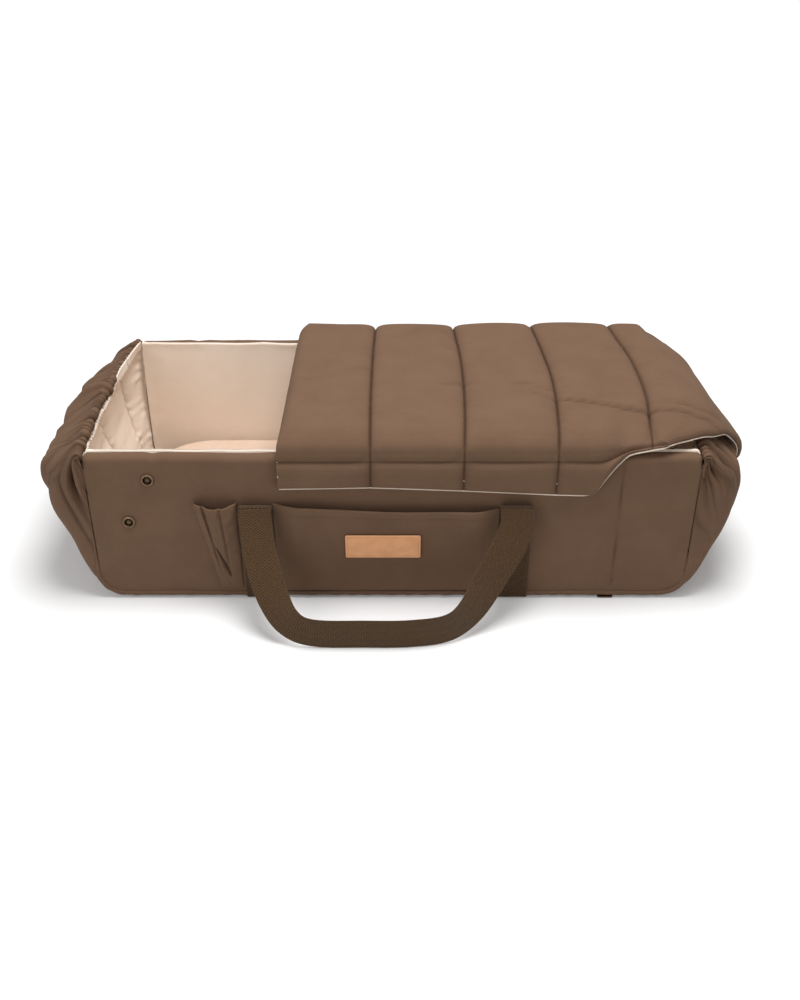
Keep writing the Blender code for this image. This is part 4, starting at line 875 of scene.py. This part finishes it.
low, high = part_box("label_patch")
half_x, half_z = (high[0] - low[0]) / 2, (high[2] - low[2]) / 2
middle_x, middle_z = (low[0] + high[0]) / 2, (low[2] + high[2]) / 2
x, z, edge = panel_grid((0, 0, -half_z), (half_x, 0, half_z), PATCH_CORNER, PATCH_CORNER,
                        170, 64)
lean = (high[1] - low[1] - PATCH_THICK) / (half_z * 2)
bed = high[1] - (z + half_z) * lean
front = bed - PATCH_THICK + 0.0006 * (np.clip(1 - edge / 0.0011, 0, 1) ** 2)
front += 0.00045 * bell(edge - 0.0026, 0.0006)
patch = sewn_shell("leather_patch", points_at(x + middle_x, front, z + middle_z),
                   points_at(x + middle_x, bed, z + middle_z), leather)
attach(patch, "root")
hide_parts("label_patch")
corners = np.array([(-1, -1), (1, -1), (1, 1), (-1, 1), (-1, -1)]) * (
    half_x - PATCH_STITCH_IN, half_z - PATCH_STITCH_IN)
border = np.stack([middle_x + corners[:, 0],
                   high[1] - (corners[:, 1] + half_z) * lean - PATCH_THICK + 0.00015,
                   middle_z + corners[:, 1]], -1)
tan_thread = thread_finish("tan_thread", (0.60, 0.33, 0.17, 1))
patch_stitches = stitch_row("patch_stitches", [border[side:side + 2] for side in range(4)],
                            (0, -1, 0), 0.0027, tan_thread)
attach(patch_stitches, "root")

# Bottle pouch. A small open pouch of brown cotton beside the left strap, pleated at
# its mouth, slack, and drawn narrow at its foot.
POUCH_TOP_WIDTH, POUCH_FOOT_WIDTH = 0.050, 0.026
POUCH_RIGHT = -0.1793
POUCH_DEPTH = 0.0150
POUCH_CLOTH = 0.0013
POUCH_HEM = 0.010
PLEATS = ((0.34, 0.035, 1.0), (0.56, 0.030, 0.8))
SLIT_START, SLIT_SLOPE = 0.609, 0.466
low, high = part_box("bottle_pouch")
share_x, share_z = np.meshgrid(np.linspace(0, 1, 120), np.linspace(0, 1, 90))
width = POUCH_FOOT_WIDTH + (POUCH_TOP_WIDTH - POUCH_FOOT_WIDTH) * share_z
away = np.sin(math.pi * share_x) ** (1 - 0.45 * share_z)
depth = POUCH_CLOTH + (POUCH_DEPTH - POUCH_CLOTH - 0.0022) * share_z ** 0.7
pleat = sum(deep * bell(share_x - middle, reach) for middle, reach, deep in PLEATS)
pleat *= ease(share_z / 0.5)
from_slit = share_x - SLIT_START + SLIT_SLOPE * share_z
slit = bell(from_slit, 0.020 + 0.035 * ease(1 - abs(share_z - 0.28) / 0.2))
slit *= ease((0.56 - share_z) / 0.10) * ease((share_z - 0.12) / 0.06)
pleat += 0.35 * bell(from_slit + 0.09, 0.05) * ease((0.8 - share_z) / 0.3)
place = np.stack([share_x * 0.05, share_z * 0.12], -1)
slack = 0.10 * crumple(place * (1, 0.4), 0.018, 240) + 0.06 * crumple(place, 0.009, 241)
form = away * (1 - 0.34 * pleat - 0.5 * slit + slack * ease(share_z * 4))
z = low[2] + share_z * (high[2] - low[2]) + 0.0018 * (np.sin(share_x * 9) - 1) * share_z ** 3
middle_x = POUCH_RIGHT - width / 2
x = middle_x - np.cos(math.pi * share_x) * width / 2
x += 0.0022 * pleat * np.sign(share_x - 0.45) * share_z
y = HALF_WIDTH + 0.0003 + np.clip(form, 0.02, 1.05) * depth
hem_line = 0.0004 * ease((POUCH_HEM - (1 - share_z) * (high[2] - low[2])) / 0.001)
back_x = middle_x + (x - middle_x) * (1 - 2 * POUCH_CLOTH / width)
back_y = HALF_WIDTH + 0.0002 + np.clip(y - HALF_WIDTH - 0.0002 - POUCH_CLOTH * away, 0, None)
# Painted shade in the slit and in the folds of the pleats.
pouch = sewn_shell(
    "pouch_cloth", points_at(x, -(y + hem_line + 0.0006), z),
    points_at(back_x, -back_y, z), brown_cotton,
    0.95 * slit ** 2 + 0.45 * np.clip(pleat, 0, 1) ** 3 * ease((share_z - 0.3) / 0.4))
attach(pouch, "root")
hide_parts("bottle_pouch")

# Carrying straps. Olive-brown cotton webbing in a herringbone weave, sewn up both
# sides and under the base, and curled out at the pocket's top where the handles start.
WEBBING = (0.102, 0.0500, 0.0150, 1)
WEBBING_DEEP = (0.0175, 0.0082, 0.0024, 1)
WEBBING_THICK = 0.0020
WEBBING_PLACES = np.array([-1, -0.985, -0.95, -0.88, -0.7, -0.5, -0.25, 0,
                           0.25, 0.5, 0.7, 0.88, 0.95, 0.985, 1.0])
WEBBING_FULL = np.array([0.25, 0.62, 0.92, 1.06, 1, 1, 1, 1, 1, 1, 1, 1.06, 0.92, 0.62, 0.25])
RIB_WIDTH = 0.0047
TWILL_PITCH = 0.0029
CURL_RADIUS = 0.0075
STRAP_FACE = HALF_WIDTH + SEAM_GAP + WEBBING_THICK / 2
STRAP_TOP, STRAP_END_Y = 0.126, 0.1848
STRAP_BEND = 0.0025 + WEBBING_THICK / 2
PIVOT_Y, PIVOT_Z = 0.1862, 0.1335
STITCH_HALF, STITCH_Y = 0.0165, STRAP_FACE + 0.00105
STITCH_LEVELS, STITCH_UPRIGHT = (0.1215, 0.0985), (0.012, 0.122)

webbing_finish, tree, shader = new_finish("olive_webbing")
cloth_map = wire(tree, "UVMap", "UV", uv_map="cloth")
zigzag = maths(tree, "PINGPONG", wire(tree, "SeparateXYZ", "Y", {"Vector": cloth_map}),
               RIB_WIDTH)
slant = maths(tree, "MULTIPLY_ADD", zigzag, 0.9,
              wire(tree, "SeparateXYZ", "X", {"Vector": cloth_map}))
twill = maths(tree, "SINE", maths(tree, "MULTIPLY", slant, 2 * math.pi / TWILL_PITCH))
yarn = noise(tree, wire(tree, "TexCoord", "Object"), 700.0, 3.0)
height = maths(tree, "MULTIPLY_ADD", twill, 0.32, yarn)
feed(tree, shader, {
    "Base Color": ramp(tree, height, (0.15, WEBBING_DEEP), (0.85, WEBBING)),
    "Normal": bump(tree, 0.7, 0.0004, height), "Roughness": 0.82,
    "Specular IOR Level": 0.22, "Sheen Weight": 0.2, "Sheen Roughness": 0.5})


def webbing(name, centre, across):
    """A flat woven strap along a line of points, with rounded woven edges."""
    along = unit(np.gradient(centre, axis=0))
    across = unit(across - along * (across * along).sum(-1, keepdims=True))
    middle = centre[None] + across[None] * (WEBBING_PLACES * STRAP_WIDTH / 2)[:, None, None]
    through = np.cross(along, across)[None] * (WEBBING_FULL * WEBBING_THICK / 2)[:, None, None]
    return sewn_shell(name, middle + through, middle - through, webbing_finish)


curl = np.linspace(math.pi / 2, 0, 12)
turn = np.linspace(0, math.pi / 2, 8)
down = np.linspace(STRAP_TOP, STRAP_BEND + WEBBING_THICK / 2, 60)[1:-1]
half_y = np.concatenate([
    [STRAP_END_Y], STRAP_FACE + CURL_RADIUS - CURL_RADIUS * np.cos(curl),
    np.full(len(down), STRAP_FACE), STRAP_FACE - STRAP_BEND + STRAP_BEND * np.cos(turn)])
half_z = np.concatenate([
    [PIVOT_Z], STRAP_TOP + CURL_RADIUS * np.sin(curl), down,
    WEBBING_THICK / 2 + STRAP_BEND - STRAP_BEND * np.sin(turn)])
under_y = np.linspace(-half_y[-1], half_y[-1], 60)[1:-1]
path_y = np.concatenate([-half_y, under_y, half_y[::-1]])
path_z = np.concatenate([half_z, np.full(len(under_y), half_z[-1]), half_z[::-1]])
for word, strap_x in zip(("left", "right"), STRAP_X):
    line = points_at(np.full_like(path_y, strap_x), path_y, path_z)
    strap = webbing("webbing_" + word, line, np.tile([1.0, 0, 0], (len(line), 1)))
    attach(strap, "root")
    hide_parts("strap_" + word)

olive_thread = thread_finish("olive_thread", (0.115, 0.070, 0.035, 1))
for word, side in (("front", -1), ("rear", 1)):
    lines = []
    for strap_x in STRAP_X:
        left, right = strap_x - STITCH_HALF, strap_x + STITCH_HALF
        lines += [[(edge_x, side * STITCH_Y, z) for z in STITCH_UPRIGHT]
                  for edge_x in (left, right)]
        lines += [[(edge_x, side * STITCH_Y, level) for edge_x in (left, right)]
                  for level in STITCH_LEVELS]
    strap_stitches = stitch_row(word + "_strap_stitches", lines, (0, side, 0), 0.0032,
                                olive_thread)
    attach(strap_stitches, "root")

# Handles. The same webbing runs on from each strap's end in a loop that hangs out
# and down, and its grip stands on edge on the floor.
HANDLE_PLACES = (0, 0.05, 0.14, 0.24, 0.32, 0.40, 0.50, 0.60, 0.68, 0.75, 0.83, 0.90, 0.95, 1)
HANDLE_ACROSS = (0, 0.002, 0.022, 0.066, 0.125, 0.215, 0.420,
                 0.600, 0.740, 0.825, 0.900, 0.972, 0.998, 1)
HANDLE_OUT = (0, 0.075, 0.330, 0.640, 0.880, 0.985, 1,
              0.985, 0.880, 0.690, 0.430, 0.215, 0.085, 0)
HANDLE_LEVEL = (1, 0.905, 0.665, 0.410, 0.235, 0.155, 0.146,
                0.146, 0.160, 0.260, 0.480, 0.725, 0.880, 1)
HANDLE_TURN = (0, 0, 0.04, 0.22, 0.58, 0.92, 1, 1, 0.93, 0.66, 0.28, 0.04, 0, 0)
HANDLE_REACH = 0.083


def through_places(places, values, at):
    """A smooth curve through a row of values, read at many places."""
    places, values = np.array(places, float), np.array(values, float)
    index = np.clip(np.searchsorted(places, at, side="right"), 1, len(places) - 1)
    low, high = index - 1, index
    before, after = np.maximum(low - 1, 0), np.minimum(high + 1, len(places) - 1)
    span = places[high] - places[low]
    share = (at - places[low]) / span
    slope_start = (values[high] - values[before]) / (places[high] - places[before]) * span
    slope_end = (values[after] - values[low]) / (places[after] - places[low]) * span
    cube, square = share ** 3, share ** 2
    return ((2 * cube - 3 * square + 1) * values[low] + (cube - 2 * square + share) * slope_start
            + (3 * square - 2 * cube) * values[high] + (cube - square) * slope_end)


at = np.linspace(0, 1, 221)
across, out, level, stand = (
    through_places(HANDLE_PLACES, row, at)
    for row in (HANDLE_ACROSS, HANDLE_OUT, HANDLE_LEVEL, HANDLE_TURN))
angle = math.pi / 2 * np.clip(stand, 0, 1)
aim = points_at(np.where(at < 0.5, 1.0, -1.0) * np.cos(angle), 0 * at, np.sin(angle))
for word, side in (("front", -1), ("rear", 1)):
    line = np.stack([STRAP_X[0] + across * (STRAP_X[1] - STRAP_X[0]),
                     side * (PIVOT_Y + HANDLE_REACH * out), PIVOT_Z * level], -1)
    handle = webbing("handle_" + word, line, aim)
    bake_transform(handle)
    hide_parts(word + "_handle")

# Quilted cover. Two layers of brown cotton with wadding between, sewn across into five
# channels. It lies over the cot with a flap folded down each side. Its foot end goes
# over the foot rim and down the outside of the wall, with its front corner lifted.
COVER_START = -0.130
COVER_PITCH = 0.1055
COVER_BED, COVER_SIDE, COVER_SHOULDER = 0.1953, 0.1728, 0.0060
COVER_TOP = COVER_SIDE - COVER_SHOULDER
COVER_LINING, COVER_GAP = 0.0014, 0.0009
COVER_THICK, COVER_THIN = 0.0268, 0.0013
CHANNEL_THICK = 0.0248
SEAM_BOWS = (0.0, -0.002, 0.006, 0.010, 0.014, 0.0)
FLAP_LENGTH = 0.034
FLAP_SEAM = 0.0094
FLAP_END = 0.858
FLAP_SHARES = ((0, 0.25, 0.50, 0.75, 0.856, 0.863, 0.882, 0.905, 0.936, 1.0),
               (1.0, 0.94, 1.06, 1.22, 1.26, 1.15, 0.62, 0.30, 0.08, 0.05))
FOOT_HEM = ((-1, -0.92, -0.83, -0.71, -0.58, -0.50, -0.43, -0.35, 1),
            (0.06, 0.24, 0.41, 0.555, 0.67, 0.80, 0.92, 1, 1))
FOOT_PILLOW = ((0, 0.012, 0.038, 0.058, 0.080, 0.100, 0.121, 0.147, 0.180),
               (0.0250, 0.0252, 0.0245, 0.0195, 0.0128, 0.0098, 0.0082, 0.0070, 0.0060))
EDGE_PROFILE = (
    (-0.016, -0.010, -0.005, 0, 0.0024, 0.0047, 0.0070, 0.0094, 0.0112, 0.0150, 0.0220, 0.040),
    (1.0, 0.975, 0.905, 0.78, 0.56, 0.31, 0.17, 0.075, 0.17, 0.285, 0.335, 0.335))
HEM_PROFILE = ((0, 0.003, 0.010, 0.025, 0.050, 0.090),
               (0.0026, 0.0056, 0.0082, 0.0120, 0.0180, 0.0260))
SKIRT_TOP, SKIRT_FOOT = 0.186, 0.1243
COVER_LIFT = 0.0100
CORNER_FOLD_Y, CORNER_FOLD_HIGH = -0.126, 0.0070
SKIRT_STAND = 0.0040
NO_FLAP_FROM = 0.862
REAR_THIN_X = 0.334
COVER_WRINKLES = (
    (0.163, -0.036, 0.020, 0.05, 0.0012), (0.184, -0.050, 0.014, -0.45, 0.0014),
    (0.176, -0.064, 0.016, -0.30, 0.0012), (0.205, -0.082, 0.026, -0.36, 0.0018),
    (0.250, -0.097, 0.036, -0.34, 0.0024), (0.290, -0.110, 0.030, -0.28, 0.0022),
    (0.345, -0.124, 0.036, -0.22, 0.0022), (0.350, -0.108, 0.034, -0.16, 0.0015),
    (-0.026, 0.010, 0.020, 0.05, 0.0009), (0.084, -0.030, 0.018, 0.06, 0.0010),
    (0.066, -0.036, 0.014, 0.05, 0.0009), (-0.112, -0.022, 0.016, -0.10, 0.0010))


def cover_bed(grown, channel_columns, foot_columns, top_rows, turn_rows, flap_rows):
    """The surface the cover lies on, with each point's place in the cloth."""
    even = np.linspace(0, 1, channel_columns + 1)[1:]
    graded = even - 0.8 * np.sin(2 * math.pi * even) / (2 * math.pi)
    u = np.concatenate([[0.0]] + [channel + graded for channel in range(4)])
    foot = np.linspace(0, 1, foot_columns + 1)[1:] ** 1.15
    place = np.concatenate([u / 4, np.ones(foot_columns)])
    flap = (FLAP_LENGTH * np.interp(place, *FLAP_SHARES)
            + grown * (1 + 1.5 * ease((FLAP_END - place) / 0.04)))
    bend = math.pi / 2 * (1 - 0.86 * ease((place - FLAP_END) / 0.10))
    top = np.sin(np.linspace(-1, 1, top_rows) * math.pi / 2 * 0.86)
    top = top / math.sin(math.pi / 2 * 0.86) * COVER_TOP
    turn = np.linspace(0, 1, turn_rows + 1)[1:, None]
    drop = np.linspace(0, 1, flap_rows + 1)[1:, None]
    y_turn = COVER_TOP + COVER_SHOULDER * np.sin(turn * bend)
    z_turn = COVER_BED - COVER_SHOULDER + COVER_SHOULDER * np.cos(turn * bend)
    side_y = np.concatenate([y_turn, y_turn[-1] + drop * flap * np.cos(bend)])
    side_z = np.concatenate([z_turn, z_turn[-1] - drop * flap * np.sin(bend)])
    arc = COVER_SHOULDER * math.pi / 2
    side_q = np.concatenate([COVER_TOP + arc * turn + 0 * bend, COVER_TOP + arc + drop * flap])
    flat = np.repeat(top[:, None], len(place), 1)
    y = np.concatenate([-side_y[::-1], flat, side_y])
    z = np.concatenate([side_z[::-1], flat * 0 + COVER_BED, side_z])
    q = np.concatenate([-side_q[::-1], flat, side_q])
    bow = through_places(range(6), SEAM_BOWS, np.minimum(place * 4, 3.9999))
    bow_row = np.cos(np.clip(q / 0.17, -1, 1) * math.pi / 2)
    seam_x = COVER_START + np.concatenate([u, np.full(foot_columns, 4.0)]) * COVER_PITCH
    x = seam_x + bow * bow_row + grown * 0.8 * (1 - ease(place / 0.01))
    # The rear start corner is rounded
    x = x + 0.009 * ease((q - 0.146) / 0.026) * (1 - ease(place / 0.15))
    # The hooked end: level to the rim, round it, and down the outside of the wall
    run = np.zeros_like(x)
    skirt_z = np.linspace(SKIRT_TOP, SKIRT_FOOT, 24)
    skirt_height = (skirt_z - wall_foot) / (wall_top - wall_foot)
    skirt_share = smooth_shares(END_SHARES["foot"], skirt_height)
    main = len(u)
    for row in range(len(x)):
        row_y = y[row, -1]
        station = min(abs(row_y) / 0.178, 1)
        reach = (1 - station ** END_POWER) ** (1 / END_POWER) * END_REACH
        reach = reach * drawn_in(1, row_y / HALF_WIDTH, skirt_height)
        rim_x = frame_half + SEAM_GAP + 2 * RIM_RADIUS + RIM_BOW * (1 - station ** 2) - 0.002
        line_x = np.concatenate([np.linspace(x[row, main - 1], rim_x, 24),
                                 frame_half + reach * skirt_share + SKIRT_STAND])
        line_z = np.concatenate([np.full(24, z[row, main - 1]), skirt_z])
        for _ in range(6):
            relax(line_x)
            relax(line_z)
        step = np.hypot(np.diff(line_x), np.diff(line_z))
        length = np.concatenate([[0], np.cumsum(step)])
        at = foot * (length[-1] * np.interp(row_y / HALF_WIDTH, *FOOT_HEM) + grown)
        run[row, main:] = at
        x[row, main:] = np.interp(at, length, line_x)
        z[row, main:] = np.interp(at, length, line_z)
    # The front corner is lifted, and a fold stands up beside it
    z = z + CORNER_FOLD_HIGH * bell(y - CORNER_FOLD_Y, 0.022) * ease((x - 0.362) / 0.030)
    lifted = ease(-y / 0.165) * ease((x - 0.250) / 0.075)
    z = z + COVER_LIFT * lifted * (1 - 0.6 * ease((x - 0.385) / 0.04))
    return x, y, z, q, u, run


def upward(bed, rounds):
    """Even normals of the cover's bed, all on its outer side."""
    up = -spread_out(outward(bed), rounds)
    return up * np.sign(up[len(up) // 2, 10, 2])


x, y, z, q, u, run = cover_bed(0, 32, 64, 84, 20, 18)
main = len(u)
bed = points_at(x, y, z)
up = upward(bed, 4)
from_hem = abs(q[-1])[None] - abs(q)
past_top = abs(q) - COVER_TOP
# Channels: nearly flat pillows that turn down sharply into each sewn seam
from_seam = np.full(q.shape, 1.0)
from_seam[:, :main] = abs(u - np.round(u))[None] * COVER_PITCH
from_seam[:, :main][:, u < 0.5] = 1.0
from_seam[:, main:] = run[:, main:]
pillow = np.full(q.shape, CHANNEL_THICK)
pillow[:, main:] = np.interp(run[:, main:], *FOOT_PILLOW)
thick = pillow * np.interp(past_top, *EDGE_PROFILE)
# At its start, its hems and its foot the cover thins down to the sewn edge
start_share = np.clip((u * COVER_PITCH)[None] / 0.016, 0, 1)
start_thick = 0.0028 + 0.0222 * np.sqrt(1 - (1 - start_share) ** 2)
thick[:, :main] = np.minimum(thick[:, :main], start_thick)
no_flap = ease((u / 4 - NO_FLAP_FROM) / 0.08)[None] * ease(0.5 - q[:, :main] / 0.10)
side_thick = np.interp(from_hem[:, :main], *HEM_PROFILE)
thick[:, :main] += (np.minimum(thick[:, :main], side_thick) - thick[:, :main]) * no_flap
hem_held = np.maximum(ease(0.5 - q[:, main:] / 0.10),
                      ease((x[:, main:] - REAR_THIN_X) / 0.028))
end_run = run[:, -1:] - run[:, main:]
hem_thick = np.interp(np.minimum(end_run, from_hem[:, main:]), *HEM_PROFILE)
thick[:, main:] += (np.minimum(thick[:, main:], hem_thick) - thick[:, main:]) * hem_held
thick *= 1 - 0.55 * ease((q - 0.060) / 0.09) * ease((x - REAR_THIN_X) / 0.03)
groove = 0.0060 * np.exp(-(from_seam / 0.0040) ** 0.9) + 0.0022 * np.exp(-from_seam / 0.018)
thick -= np.minimum(groove, thick * (0.42 + 0.25 * ease(past_top / 0.012)))
thick -= 0.0011 * bell(from_seam, 0.0011)
flap_thick = 0.0024 + 0.0062 * np.sqrt(np.clip(from_hem / 0.007, 0, 1))
thick = np.where(abs(q) > COVER_TOP + FLAP_SEAM, np.minimum(thick, flap_thick), thick)
# Unevenness: puckers along the seams, slack wadding and a few long wrinkles
cloth_place = np.stack([x, q], -1)
pucker = crumple(cloth_place * (0.25, 1), 0.0100, 250) * np.exp(-from_seam / 0.010)
pucker += (0.6 * crumple(cloth_place * (1, 0.25), 0.0105, 251)
           * np.exp(-abs(past_top - FLAP_SEAM) / 0.006))
slack = crumple(cloth_place * (0.6, 1), 0.030, 252)
broad = crumple(cloth_place, 0.090, 253)
creases = np.zeros_like(q)
for middle, line, reach, slope, deep in COVER_WRINKLES:
    away = x - middle
    at = q - line - slope * away
    creases += deep * bell(away, reach) * (bell(at, 0.0028) - 0.55 * bell(at - 0.006, 0.0045))
thick += ((0.00060 * pucker + 0.00045 * slack + 0.00090 * broad - creases)
          * ease(thick / 0.010))
thick = np.clip(thick, COVER_THIN, COVER_THICK)
under = COVER_LINING + COVER_GAP
face = bed + up * (under + thick)[..., None]
place_share = np.concatenate([u / 4, np.ones(q.shape[1] - main)])[None]
# Painted shade along the sewn seams, along the flap's fold seam and in the wrinkles.
cover_shade = 0.62 * bell(from_seam, 0.0013) + 0.15 * np.exp(-from_seam / 0.005)
cover_shade += 0.45 * bell(past_top - FLAP_SEAM, 0.0010) * ease((0.90 - place_share) / 0.03)
cover_shade += np.clip(190 * creases, 0, 0.4)
quilt = sewn_shell("quilted_cover", face, bed + up * under, brown_cotton, cover_shade)
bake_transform(quilt)
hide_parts("cover_quilt", "foot_cover_quilt")
# Ends of white thread show at the flap's corners and where the seams meet its hem
THREAD_ENDS = ((0.012, 0.0094), (0.012, 0.024), (2.0, 0.033), (3.0, 0.036))
bits = []
for column_share, depth in THREAD_ENDS:
    column = int(np.argmin(abs(u - column_share)))
    middle = face[int(np.argmin(abs(q[:, column] + COVER_TOP + depth))), column]
    bits.append([middle + (-0.0010, -0.0004, 0.0006), middle + (0.0010, -0.0004, -0.0004)])
white_thread = thread_finish("white_thread", (0.80, 0.76, 0.70, 1))
thread_bits = stitch_row("cover_thread_bits", bits, (0, -1, 0), 0.0024, white_thread, 0.0007)
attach(thread_bits, "cover")

# Cover lining. A thin beige cotton layer under the quilt, turned out a little at the
# hem, where it shows as a fine pale edge.
HEM_SHOWS = 0.0013
UNDER_BEIGE, UNDER_DEEP = (0.72, 0.60, 0.50, 1), (0.65, 0.53, 0.43, 1)
x, y, z, q = cover_bed(HEM_SHOWS, 32, 40, 60, 10, 8)[:4]
bed = points_at(x, y, z)
up = upward(bed, 3)
ripple = abs(0.00035 * crumple(np.stack([x, q], -1), 0.02, 260)[..., None])
under_cotton = cotton_cloth("under_cotton", UNDER_BEIGE, UNDER_DEEP, 0.15, 0.25)
lining = sewn_shell("cover_under_cloth", bed + up * COVER_LINING,
                    bed + up * (0.0001 + ripple), under_cotton)
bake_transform(lining)
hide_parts("cover_lining", "foot_cover_lining")

# Fittings and hidden parts. The studs, zip, tag, foam, board and elastic keep their
# exact shapes and get finishes: aged brass with painted shade in the socket, white satin,
# foam, hardboard and ribbed elastic.
FITTINGS = (
    ("aged_brass", (0.27, 0.190, 0.115, 1), (0.120, 0.078, 0.044, 1), 0.32, 1.0, 420.0, 0.25,
     ("front_stud_upper", "front_stud_lower", "rear_stud_upper", "rear_stud_lower",
      "front_stud_upper_back", "front_stud_lower_back", "rear_stud_upper_back",
      "rear_stud_lower_back", "base_zip_slider", "base_zip_pull")),
    ("brown_zip_tape", (0.095, 0.060, 0.040, 1), (0.055, 0.034, 0.022, 1), 0.85, 0.0, 900.0,
     0.5, ("base_zip_tape",)),
    ("white_tag", (0.86, 0.86, 0.84, 1), (0.78, 0.78, 0.76, 1), 0.55, 0.0, 1100.0, 0.3,
     ("care_label",)),
    ("pale_foam", (0.80, 0.79, 0.74, 1), (0.62, 0.61, 0.56, 1), 0.95, 0.0, 650.0, 0.8,
     ("front_stiffener", "rear_stiffener")),
    ("hardboard", (0.30, 0.20, 0.12, 1), (0.20, 0.13, 0.08, 1), 0.7, 0.0, 160.0, 0.3,
     ("base_board",)),
    ("rib_elastic", (0.78, 0.77, 0.72, 1), (0.55, 0.54, 0.50, 1), 0.8, 0.0, 1500.0, 0.6,
     ("head_elastic", "foot_elastic")))
STUD_SOCKET_SHADE = (0.020, 0.0105, 0.0055, 1)
# How much brass shows at each distance from a stud's middle, in centimetres
STUD_RINGS = ((0.19, 0.42), (0.28, 0.0), (0.51, 0.0), (0.57, 1.0))


def from_stud_middle(tree, place, stud):
    """Distance from a stud's middle line, as a node's output."""
    low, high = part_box("front_stud_" + stud)
    middle = ((low[0] + high[0]) / 2, 0, (low[2] + high[2]) / 2)
    apart = wire(tree, "VectorMath", "Vector", {0: place, 1: middle}, operation="SUBTRACT")
    flattened = wire(tree, "VectorMath", "Vector", {0: apart, 1: (1, 0, 1)},
                     operation="MULTIPLY")
    return wire(tree, "VectorMath", "Value", {0: flattened}, operation="LENGTH")


for name, colour, deep, roughness, metal, pattern, relief, nodes_named in FITTINGS:
    finish, tree, shader = new_finish(name)
    place = wire(tree, "TexCoord", "Object")
    grain = noise(tree, place, pattern, 4.0)
    tone = ramp(tree, grain, (0.30, deep), (0.70, colour))
    if metal:
        # Painted shade darkens the socket inside each stud's ring, round a dull post
        nearest = maths(tree, "MINIMUM", from_stud_middle(tree, place, "upper"),
                        from_stud_middle(tree, place, "lower"))
        share = maths(tree, "MULTIPLY", nearest, 100.0)
        rings = ramp(tree, share, *[(at, (value, value, value, 1)) for at, value in STUD_RINGS])
        tone = wire(tree, "Mix", "Result", {"Factor": rings, "A": STUD_SOCKET_SHADE, "B": tone},
                    data_type="RGBA")
    feed(tree, shader, {
        "Base Color": tone, "Normal": bump(tree, relief, 0.0003, grain),
        "Roughness": roughness, "Metallic": metal})
    for node_name in nodes_named:
        for used in bpy.data.objects[node_name].material_slots:
            used.material = finish
